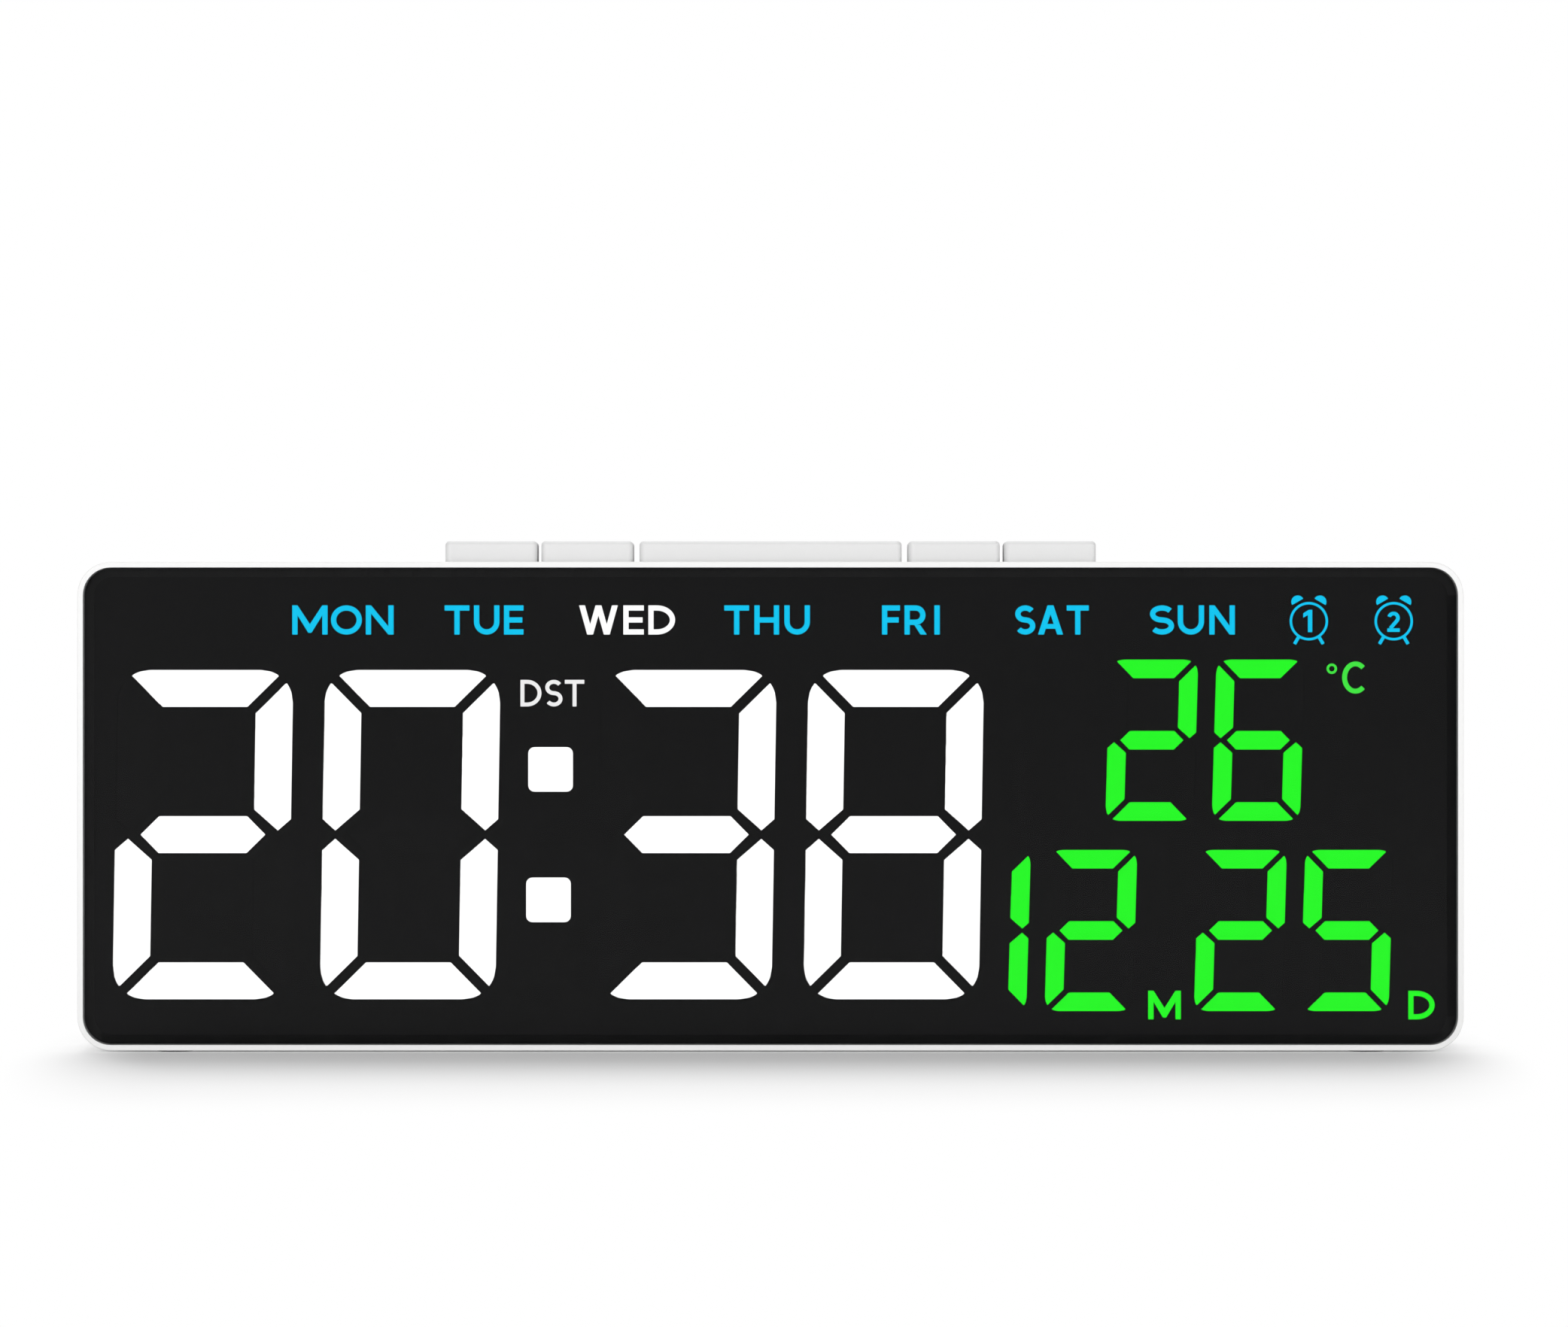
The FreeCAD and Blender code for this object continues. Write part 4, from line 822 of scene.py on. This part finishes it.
@dataclass(frozen=True)
class Layer:
    """The thin layer that a lit sign fills, from its front to its back."""

    front: float
    back: float

    def plate(self, corners: np.ndarray) -> Solid:
        """A flat solid from its corners.

        Args:
            corners: across and up of each corner, anticlockwise as seen from the front.

        Returns:
            Vertices and faces: the corners at the front, the same at the back, and a wall between.
        """
        count = len(corners)
        depth = np.repeat([self.front, self.back], count)
        points = np.stack([np.tile(corners[:, 0], 2), depth, np.tile(corners[:, 1], 2)], axis=1)
        near = np.arange(count)
        after = np.roll(near, -1)
        wall = np.stack([near, near + count, after + count, after], axis=1)
        return points, [near.tolist(), (near[::-1] + count).tolist(), *wall.tolist()]

    def ribbon(self, path: np.ndarray, width: float, closed: bool = False) -> Solid:
        """A flat stroke of one width along a path.

        Each point is moved to both sides along its mitre. With a and b the side directions before and
        after the point, the mitre is (a + b) times the width over the square of the length of a + b.

        Args:
            path: across and up of each point.
            width: the stroke's width.
            closed: whether the last point joins the first.

        Returns:
            Vertices and faces.
        """
        run = np.diff(np.vstack([path, path[:1]]) if closed else path, axis=0)
        run = run / np.linalg.norm(run, axis=1, keepdims=True)
        side = np.stack([-run[:, 1], run[:, 0]], axis=1)
        before = np.roll(side, 1, axis=0) if closed else np.vstack([side[:1], side])
        after = side if closed else np.vstack([side, side[-1:]])
        mitre = before + after
        mitre = mitre * width / np.sum(mitre * mitre, axis=1, keepdims=True)
        edges = np.stack([path - mitre, path + mitre])
        return grid_slab(edges[:, :, 0], edges[:, :, 1], self.front, self.back, closed)

    def ring(self, centre: Point, radius: float, width: float) -> Solid:
        """A closed round stroke about a centre."""
        return self.ribbon(arc(centre, (radius, radius), 0, 360, steps=65)[:-1], width, True)


@dataclass(frozen=True)
class Letter:
    """One sign of plain block type: strokes of one width that fill a box."""

    sign: str
    left: float
    low: float
    width: float
    height: float
    stroke: float
    layer: Layer

    def solids(self) -> list[Solid]:
        """Draw the sign.

        Returns:
            Its strokes.
        """
        draw = {
            "A": self._a, "C": self._c, "D": self._d, "E": self._e, "F": self._f, "H": self._h, "I": self._i,
            "M": self._m, "N": self._n, "O": self._o, "R": self._r, "S": self._s, "T": self._t, "U": self._u,
            "W": self._w, "1": self._one, "2": self._two,
        }[self.sign]
        return draw()

    def _plate(self, *corners: Point) -> Solid:
        """A plate whose corners are measured from the box's lower left, anticlockwise."""
        return self.layer.plate(np.array(corners) + (self.left, self.low))

    def _box(self, left: float, low: float, right: float, high: float) -> Solid:
        """An upright rectangle."""
        return self._plate((left, low), (right, low), (right, high), (left, high))

    def _ribbon(self, path: np.ndarray, closed: bool = False) -> Solid:
        """A stroke along a path that is measured from the box's lower left."""
        return self.layer.ribbon(path + (self.left, self.low), self.stroke, closed)

    def _a(self) -> list[Solid]:
        """Two legs that meet in a flat top, and a bar between them.

        Returns:
            The strokes.
        """
        wide, high, foot = self.width, self.height, self.stroke * 1.12
        lean = (wide - foot) / 2 / high
        fork = (wide / 2 - foot) / lean
        bar_low = high * 0.2
        bar_high = bar_low + self.stroke * 0.9
        inner_low, inner_high = foot + lean * bar_low, foot + lean * bar_high
        return [
            self._plate((0, 0), (foot, 0), (wide / 2, fork), (wide - foot, 0), (wide, 0),
                        ((wide + foot) / 2, high), ((wide - foot) / 2, high)),
            self._plate((inner_low, bar_low), (wide - inner_low, bar_low),
                        (wide - inner_high, bar_high), (inner_high, bar_high)),
        ]

    def _c(self) -> list[Solid]:
        """An open ring.

        Returns:
            The strokes.
        """
        mouth = 46
        radius = (self.width - self.stroke / 2) / (1 + math.cos(math.radians(mouth)))
        radii = (radius, (self.height - self.stroke) / 2)
        centre = (self.stroke / 2 + radius, self.height / 2)
        return [self._ribbon(arc(centre, radii, mouth, 360 - mouth, steps=40))]

    def _d(self) -> list[Solid]:
        """A stem closed by a half round.

        Returns:
            The strokes.
        """
        half = self.stroke / 2
        round_width = (self.width - self.stroke) * 0.72
        centre = (self.width - half - round_width, self.height / 2)
        bow = arc(centre, (round_width, self.height / 2 - half), -90, 90)
        return [self._ribbon(np.vstack([(half, half), bow, (half, self.height - half)]), True)]

    def _e(self) -> list[Solid]:
        """A stem with three arms.

        Returns:
            The strokes.
        """
        wide, high, stroke = self.width, self.height, self.stroke
        low_arm, high_arm = (high - stroke) / 2, (high + stroke) / 2
        reach = wide * 0.94
        return [self._plate((0, 0), (wide, 0), (wide, stroke), (stroke, stroke), (stroke, low_arm),
                            (reach, low_arm), (reach, high_arm), (stroke, high_arm), (stroke, high - stroke),
                            (wide, high - stroke), (wide, high), (0, high))]

    def _f(self) -> list[Solid]:
        """A stem with two arms.

        Returns:
            The strokes.
        """
        wide, high, stroke = self.width, self.height, self.stroke
        low_arm = high * 0.41
        reach = wide * 0.93
        return [self._plate((0, 0), (stroke, 0), (stroke, low_arm), (reach, low_arm),
                            (reach, low_arm + stroke), (stroke, low_arm + stroke),
                            (stroke, high - stroke), (wide, high - stroke), (wide, high), (0, high))]

    def _h(self) -> list[Solid]:
        """Two stems and a bar.

        Returns:
            The strokes.
        """
        wide, high, stroke = self.width, self.height, self.stroke
        low_bar, high_bar = (high - stroke) / 2, (high + stroke) / 2
        inner = wide - stroke
        return [self._plate((0, 0), (stroke, 0), (stroke, low_bar), (inner, low_bar), (inner, 0), (wide, 0),
                            (wide, high), (inner, high), (inner, high_bar), (stroke, high_bar),
                            (stroke, high), (0, high))]

    def _i(self) -> list[Solid]:
        """A stem."""
        return [self._box(0, 0, self.width, self.height)]

    def _m(self) -> list[Solid]:
        """Two stems and a deep notch between them.

        Returns:
            The strokes.
        """
        wide, high, stroke = self.width, self.height, self.stroke
        tip = high * 0.06
        slope = (high - tip) / (wide / 2 - stroke)
        drop = stroke * 0.78 * math.hypot(1.0, slope)
        flat = stroke * 0.3
        fork = tip + drop * 0.86
        inner = wide - stroke
        return [self._plate((0, 0), (stroke, 0), (stroke, high - drop), (wide / 2 - flat, tip),
                            (wide / 2 + flat, tip), (inner, high - drop), (inner, 0), (wide, 0),
                            (wide, high), (inner, high), (wide / 2, fork), (stroke, high), (0, high))]

    def _n(self) -> list[Solid]:
        """Two stems and a diagonal.

        Returns:
            The strokes.
        """
        wide, high, stroke = self.width, self.height, self.stroke
        inner = wide - stroke
        drop = stroke * 0.95 * math.hypot(1.0, high / inner)
        return [self._plate((0, 0), (stroke, 0), (stroke, high - drop), (inner, 0), (wide, 0),
                            (wide, high), (inner, high), (inner, drop), (stroke, high), (0, high))]

    def _o(self) -> list[Solid]:
        """A ring.

        Returns:
            The strokes.
        """
        radii = ((self.width - self.stroke) / 2, (self.height - self.stroke) / 2)
        ring = arc((self.width / 2, self.height / 2), radii, 0, 360, steps=57)
        return [self._ribbon(ring[:-1], True)]

    def _r(self) -> list[Solid]:
        """A stem, a bowl and a leg.

        Returns:
            The strokes.
        """
        wide, high, stroke = self.width, self.height, self.stroke
        waist = high * 0.42
        rise = (high - stroke / 2 - waist) / 2
        bowl = arc((wide * 0.94 - stroke / 2 - rise, waist + rise), (rise, rise), 90, -90)
        under = waist - stroke / 2
        hip = wide * 0.7
        return [
            self._box(0, 0, stroke, high),
            self._ribbon(np.vstack([(stroke, high - stroke / 2), bowl, (stroke, waist)])),
            self._plate((wide - stroke * 1.2, 0), (wide, 0), (hip, under), (hip - stroke * 1.1, under)),
        ]

    def _s(self) -> list[Solid]:
        """Two open ovals, one above the other, that turn opposite ways.

        Returns:
            The strokes.
        """
        quarter = (self.height - self.stroke) / 4
        radii = ((self.width - self.stroke) / 2, quarter)
        upper = arc((self.width / 2, self.height - self.stroke / 2 - quarter), radii, start=32, end=262)
        lower = arc((self.width / 2, self.stroke / 2 + quarter), radii, start=82, end=-148)
        return [self._ribbon(np.vstack([upper, lower]))]

    def _t(self) -> list[Solid]:
        """A bar on a stem.

        Returns:
            The strokes.
        """
        wide, high, stroke = self.width, self.height, self.stroke
        left, right, under = (wide - stroke) / 2, (wide + stroke) / 2, high - stroke
        return [self._plate((left, 0), (right, 0), (right, under), (wide, under), (wide, high), (0, high),
                            (0, under), (left, under))]

    def _u(self) -> list[Solid]:
        """Two stems joined by a half round.

        Returns:
            The strokes.
        """
        half = self.stroke / 2
        radius = self.width / 2 - half
        bow = arc((self.width / 2, half + radius), (radius, radius), 180, 360)
        return [self._ribbon(np.vstack([(half, self.height), bow, (self.width - half, self.height)]))]

    def _w(self) -> list[Solid]:
        """Two notches side by side; every stroke is as wide across as the others.

        Returns:
            The strokes.
        """
        wide, high, across = self.width, self.height, self.stroke * 1.12
        foot = wide * 0.285
        reach = wide / 2 - foot
        notch = high * across / (reach + foot - across / 2)
        peak = high * (reach - across / 2) / reach
        notch_x = foot - across / 2 + reach * notch / high
        return [self._plate((foot - across / 2, 0), (foot + across / 2, 0), (wide / 2, peak),
                            (wide - foot - across / 2, 0), (wide - foot + across / 2, 0), (wide, high),
                            (wide - across, high), (wide - notch_x, notch), ((wide + across) / 2, high),
                            ((wide - across) / 2, high), (notch_x, notch), (across, high), (0, high))]

    def _one(self) -> list[Solid]:
        """A stem with a flag.

        Returns:
            The strokes.
        """
        wide, high, stroke = self.width, self.height, self.stroke
        slant = stroke * 0.8
        return [self._plate((wide - stroke, 0), (wide, 0), (wide, high), (wide - slant, high),
                            (0, high - slant), (0, high - slant - stroke),
                            (wide - stroke, high - stroke * 1.2))]

    def _two(self) -> list[Solid]:
        """A hook that runs down to a foot.

        Returns:
            The strokes.
        """
        half = self.stroke / 2
        radius = self.width / 2 - half
        centre = (self.width / 2, self.height - half - radius)
        hook = arc(centre, (radius, radius), start=165, end=-38)
        strokes = self._ribbon(np.vstack([hook, (half * 1.7, self.stroke)]))
        return [strokes, self._box(0, 0, self.width, self.stroke)]


@dataclass(frozen=True)
class Word:
    """A short lit word, in millimetres: each letter with the side to side span that it fills."""

    name: str
    letters: Letters
    low: float
    high: float
    stroke: float
    glow: Glow

    def build(self, layer: Layer) -> None:
        """Draw the letters as one piece.

        Args:
            layer: the layer that they fill.
        """
        low, height, stroke = self.low * MM, (self.high - self.low) * MM, self.stroke * MM
        solids = []
        for sign, left, right in self.letters:
            solids += Letter(sign, left * MM, low, (right - left) * MM, height, stroke, layer).solids()
        light_up(self.name, solids, self.glow)


@dataclass(frozen=True)
class AlarmSign:
    """A small alarm clock sign: a ring with two bells and two feet."""

    name: str
    centre: Point
    radius: float = 3.38 * MM
    stroke: float = 0.46 * MM
    bell_radius: float = 1.2 * MM
    bell_distance: float = 4.2 * MM
    bell_turn: float = 30.0
    foot_turn: float = 33.0
    foot_step: Point = (0.85 * MM, -1.45 * MM)
    foot_stroke: float = 0.62 * MM

    def build(self, layer: Layer) -> None:
        """Draw the sign as one piece.

        Args:
            layer: the layer that it fills.
        """
        solids = [layer.ring(self.centre, self.radius, self.stroke)]
        for side in (-1, 1):
            turn = 90 - side * self.bell_turn
            seat = arc(self.centre, (self.bell_distance, self.bell_distance), turn, turn, steps=1)[0]
            bell = arc(seat, (self.bell_radius, self.bell_radius), turn - 90, turn + 90, steps=20)
            solids.append(layer.plate(bell))
            turn = -90 + side * self.foot_turn
            hip = arc(self.centre, (self.radius, self.radius), turn, turn, steps=1)[0]
            toe = hip + (side * self.foot_step[0], self.foot_step[1])
            solids.append(layer.ribbon(np.stack([hip, toe]), self.foot_stroke))
        light_up(self.name, solids, Glow.CYAN)


# ---- the display -------------------------------------------------

@dataclass
class Display:
    """Everything that shines behind the lens; words and signs are in millimetres."""

    print_depth: float = 0.06 * MM
    print_gap: float = 0.001 * MM
    numbers: tuple[tuple[str, str, DigitStyle, Glow], ...] = (
        ("hours", "20", BIG, Glow.WHITE),
        ("minutes", "38", BIG, Glow.WHITE),
        ("temperature", "26", SMALL, Glow.GREEN),
        ("month", "12", SMALL, Glow.GREEN),
        ("day", "25", SMALL, Glow.GREEN),
    )
    colon_side: float = 8.4 * MM
    colon_corner: float = 1.2 * MM
    weekday_low: float = 78.3
    weekday_high: float = 83.79
    weekday_stroke: float = 0.99
    weekdays: tuple[tuple[str, Glow, Letters], ...] = (
        ("monday", Glow.CYAN, (("M", -89.86, -83.23), ("O", -82.59, -76.78), ("N", -76.04, -70.82))),
        ("tuesday", Glow.CYAN, (("T", -61.23, -56.57), ("U", -55.72, -50.93), ("E", -50.08, -46.41))),
        ("wednesday", Glow.WORD_WHITE, (("W", -35.97, -28.68), ("E", -27.65, -23.80), ("D", -22.95, -17.92))),
        ("thursday", Glow.CYAN, (("T", -8.68, -4.02), ("H", -3.03, 1.62), ("U", 2.61, 7.41))),
        ("friday", Glow.CYAN, (("F", 20.95, 24.33), ("R", 25.18, 29.37), ("I", 30.79, 31.81))),
        ("saturday", Glow.CYAN, (("S", 45.99, 49.76), ("A", 50.26, 54.98), ("T", 55.66, 59.81))),
        ("sunday", Glow.CYAN, (("S", 71.31, 75.83), ("U", 76.53, 81.47), ("N", 82.46, 87.25))),
    )
    signs: tuple[tuple[str, Glow, float, float, float, Letters], ...] = (
        ("summer_time", Glow.DIM_WHITE, 64.79, 69.79, 0.74,
         (("D", -46.98, -43.03), ("S", -42.32, -39.08), ("T", -38.65, -34.99))),
        ("celsius", Glow.DIM_GREEN, 67.2, 73.25, 0.92, (("C", 107.41, 111.34),)),
        ("month", Glow.GREEN, 6.0, 11.36, 1.02, (("M", 70.96, 77.11),)),
        ("day", Glow.GREEN, 5.98, 11.35, 0.98, (("D", 119.85, 124.8),)),
        ("alarm_1_figure", Glow.CYAN, 78.75, 82.95, 0.82, (("1", 100.1, 101.8),)),
        ("alarm_2_figure", Glow.CYAN, 78.8, 82.6, 0.68, (("2", 115.9, 118.24),)),
    )
    degree_centre: Point = (105.47 * MM, 71.88 * MM)
    degree_radius: float = 0.75 * MM
    degree_stroke: float = 0.47 * MM
    alarm_centres: tuple[Point, ...] = ((101.16 * MM, 80.81 * MM), (117.11 * MM, 80.81 * MM))

    def build(self) -> None:
        """Light the digits, the colon, the words and the signs."""
        film_low, film_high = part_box("mask_film")
        window = Layer(film_low.y, film_high.y)
        for name, figures, style, glow in self.numbers:
            for place, figure in zip(("tens", "units"), figures):
                Digit(f"{name}_{place}", figure, style, glow).light(window)
        self._colon(window)
        printed = Layer(film_low.y - self.print_depth, film_low.y - self.print_gap)
        row = (self.weekday_low, self.weekday_high, self.weekday_stroke)
        words = [(name, glow, *row, letters) for name, glow, letters in self.weekdays]
        for name, glow, low, high, stroke, letters in (*words, *self.signs):
            Word(f"lit_{name}", letters, low, high, stroke, glow).build(printed)
        for number, centre in enumerate(self.alarm_centres, 1):
            AlarmSign(f"lit_alarm_{number}", centre).build(printed)
        degree = printed.ring(self.degree_centre, self.degree_radius, self.degree_stroke)
        light_up("lit_degree", [degree], Glow.DIM_GREEN)

    def _colon(self, layer: Layer) -> None:
        """Light the colon: two squares whose corners are quarter circles, with one point list round each.

        Args:
            layer: the layer that it fills.
        """
        low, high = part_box("colon_dots")
        edge = Digit.margin + self.colon_side / 2
        corner = self.colon_corner
        flat = self.colon_side / 2 - corner
        solids = []
        for end, centre_z in ((-1, low.z + edge), (1, high.z - edge)):
            lean = BIG.lean * (high.z - low.z - 2 * edge) / 2 * end
            centre = np.array([(low.x + high.x) / 2 + lean, centre_z])
            turns = ((-90, 1, -1), (0, 1, 1), (90, -1, 1), (180, -1, -1))
            rounds = [arc(centre + np.array([across, up]) * flat, (corner, corner), turn, turn + 90, steps=8)
                      for turn, across, up in turns]
            solids.append(layer.plate(np.concatenate(rounds)))
        light_up("lit_colon", solids, Glow.WHITE)


# ---- the case and its contents -----------------------------------

@dataclass
class Housing:
    """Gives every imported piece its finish."""

    buttons: tuple[str, ...] = ("set", "up", "snooze", "down", "alarm")
    cells: tuple[tuple[str, int], ...] = (("upper_battery", 1), ("lower_battery", -1))
    finishes: dict[Dress, tuple[str, ...]] = field(default_factory=lambda: {
        Dress.CASE: ("front_frame", "rear_cover"),
        Dress.COVER_PARTS: ("battery_door", "stand_leg"),
        Dress.LENS: ("front_lens",),
        Dress.FILM: ("mask_film",),
        Dress.TAPE: ("lens_tape",),
        Dress.REFLECTOR: ("reflector",),
        Dress.BOARD: ("display_board", "power_board"),
        Dress.RESIN: ("white_lamps", "green_lamps", "cyan_lamps"),
        Dress.STEEL: ("reflector_screws", "rear_screws", "power_board_screws", "stand_hinge_pin",
                      "clock_crystal"),
        Dress.NICKEL: ("positive_contact", "negative_contact", "bridge_contact"),
        Dress.SHELL: ("usb_socket", "capacitors"),
        Dress.EPOXY: ("controller_chip", "driver_chips", "chip_resistors", "temperature_sensor"),
        Dress.BLACK: ("alarm_buzzer", "button_switches"),
        Dress.NYLON: ("lead_connectors",),
        Dress.RUBBER: ("rubber_feet", "stand_foot_pad"),
        Dress.LEAD: ("power_lead", "battery_leads"),
    })

    def build(self, nodes: Mapping[str, bpy.types.Object]) -> None:
        """Dress the nodes.

        Args:
            nodes: node name to packed object.
        """
        for dress, names in self.finishes.items():
            for name in names:
                self._dress(nodes[name], dress.value)
        for button in self.buttons:
            self._dress(nodes[f"{button}_button"], Dress.KEYS.value)
            self._dress(nodes[f"{button}_plunger"], Dress.NYLON.value)
        for name, node in nodes.items():
            if name.endswith("_segments") or name in ("colon_dots", "weekday_windows", "indicator_windows"):
                self._dress(node, Dress.DIFFUSER.value)
        for name, tip in self.cells:
            low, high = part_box(name)
            foot_x = low.x if tip > 0 else high.x
            self._dress(nodes[name], CellJacket(f"{name}_jacket", foot_x, high.x - low.x, tip))

    @staticmethod
    def _dress(node: bpy.types.Object, finish: Finish) -> None:
        """Put a finish on every face of a packed object.

        Args:
            node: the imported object.
            finish: what it gets.
        """
        node.data.materials.clear()
        node.data.materials.append(finish.material())
        LOG.info("node %s: %s", node.name, finish.name)


# ---- studio ------------------------------------------------------

@dataclass(frozen=True)
class Softbox:
    """A square area lamp that looks at a point."""

    name: str
    place: Axes
    side: float
    power: float
    target: Axes = (0.0, 0.0, 0.045)

    def hang(self) -> None:
        """Put the lamp in its place."""
        lamp = bpy.data.lights.new(self.name, "AREA")
        lamp.shape = "SQUARE"
        lamp.size = self.side
        lamp.energy = self.power
        made = bpy.data.objects.new(self.name, lamp)
        made.location = self.place
        aim = Vector(self.target) - Vector(self.place)
        made.rotation_euler = aim.to_track_quat("-Z", "Y").to_euler()
        bpy.context.scene.collection.objects.link(made)


@dataclass
class Studio:
    """Pale floor, white surroundings, soft lamps and a long lens.

    The first four sizes are in picture points: the picture's and the case's width, and how far the picture's
    middle lies to the right of the case's and above its foot. The sensor's width is in millimetres, and the
    rest are in metres or are plain shares.
    """

    frame_width: float = 2084.0
    case_width: float = 1843.0
    centre_right: float = 18.0
    centre_up: float = 514.7
    camera_distance: float = 1.1
    sensor: float = 36.0
    clip: Point = (0.01, 50.0)
    floor_radius: float = 6.0
    floor_points: int = 96
    floor_colour: Colour = (0.94, 0.94, 0.94)
    white: Colour = (1.0, 1.0, 1.0)
    shadow_reach: float = 0.05
    fade_width: float = 0.12
    shadow_side: float = 0.105
    side_narrowing: float = 4.6
    shadow_strength: float = 0.86
    world_level: float = 0.35
    softboxes: tuple[Softbox, ...] = (
        Softbox("key_softbox", (-0.7, -1.15, 0.36), 0.7, 7.6),
        Softbox("fill_softbox", (0.9, -1.0, 0.31), 0.7, 6.3),
        Softbox("top_softbox", (-0.1, 0.5, 1.05), 0.6, 6.3),
    )

    def build(self, case_low: Vector, case_high: Vector) -> None:
        """Set up the shot.

        Args:
            case_low: lowest corner of the front frame.
            case_high: highest corner of the front frame.
        """
        self._floor()
        self._surroundings()
        for softbox in self.softboxes:
            softbox.hang()
        self._camera(case_low, case_high)
        bpy.context.scene.view_settings.view_transform = "Standard"

    def _floor(self) -> None:
        """A round pale floor that keeps the clock's shadow near it and is plain white to the eye further out.

        How much of the lit floor shows falls with the distance from a line under the clock, root of
        (n (|x| - s)) squared + y squared, where only |x| beyond the side s counts and n narrows it.
        """
        angle = np.linspace(0.0, 2.0 * math.pi, self.floor_points, endpoint=False)
        points = self.floor_radius * np.stack([np.cos(angle), np.sin(angle), np.zeros_like(angle)], axis=1)
        mesh = bpy.data.meshes.new("studio_floor")
        mesh.from_pydata(points.tolist(), [], [list(range(len(points)))])
        floor = bpy.data.objects.new("studio_floor", mesh)
        bpy.context.scene.collection.objects.link(floor)
        made = bpy.data.materials.new("studio_floor")
        made.use_nodes = True
        graph = Graph(made.node_tree)
        path = graph.straight_or_mirrored()
        ahead = graph.along("Y")
        beside = self.side_narrowing * (abs(graph.along("X")) - self.shadow_side).clamped()
        reach = (beside * beside + ahead * ahead).root()
        kept = self.shadow_strength * (1.0 - ((reach - self.shadow_reach) / self.fade_width).eased())
        lit = graph.node("ShaderNodeBsdfDiffuse", inputs={"Color": rgba(self.floor_colour)})
        plain = graph.node("ShaderNodeEmission", inputs={"Color": rgba(self.white), "Strength": 1.0})
        graph.finish(graph.node("ShaderNodeMixShader", inputs={0: path * (1.0 - kept), 1: lit, 2: plain}))
        mesh.materials.append(made)

    def _surroundings(self) -> None:
        """White where it is seen straight or through glass, plain soft light for the rest."""
        world = bpy.data.worlds.new("studio_world")
        bpy.context.scene.world = world
        world.use_nodes = True
        graph = Graph(world.node_tree, "ShaderNodeOutputWorld")
        level = self.world_level + (1.0 - self.world_level) * graph.straight_or_mirrored()
        light = {"Color": rgba(self.white), "Strength": level}
        graph.finish(graph.node("ShaderNodeBackground", inputs=light))

    def _camera(self, low: Vector, high: Vector) -> None:
        """Straight in front, as high and as far to the side as the middle of the picture lies.

        Args:
            low: lowest corner of the front frame.
            high: highest corner of the front frame.
        """
        scale = (high.x - low.x) / self.case_width
        lens = bpy.data.cameras.new("long_lens")
        lens.sensor_width = self.sensor
        distance = self.camera_distance + low.y
        lens.lens = self.sensor * distance / (self.frame_width * scale)
        lens.clip_start, lens.clip_end = self.clip
        camera = bpy.data.objects.new("long_lens", lens)
        camera.location = (self.centre_right * scale, -self.camera_distance, low.z + self.centre_up * scale)
        camera.rotation_euler = (math.pi / 2, 0.0, 0.0)
        bpy.context.scene.collection.objects.link(camera)
        bpy.context.scene.camera = camera


def corners(box: tuple[Vector, Vector]) -> list[list[float]]:
    """A box as plain lists."""
    return [[float(number) for number in corner] for corner in box]


def main() -> None:
    """Load the frame, dress it, light the display and set up the shot."""
    logging.basicConfig(level=logging.INFO, format="%(name)s: %(message)s")
    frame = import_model()
    Housing().build(frame["nodes"])
    Display().build()
    Studio().build(*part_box("front_frame"))


if __name__ == "__main__":
    main()
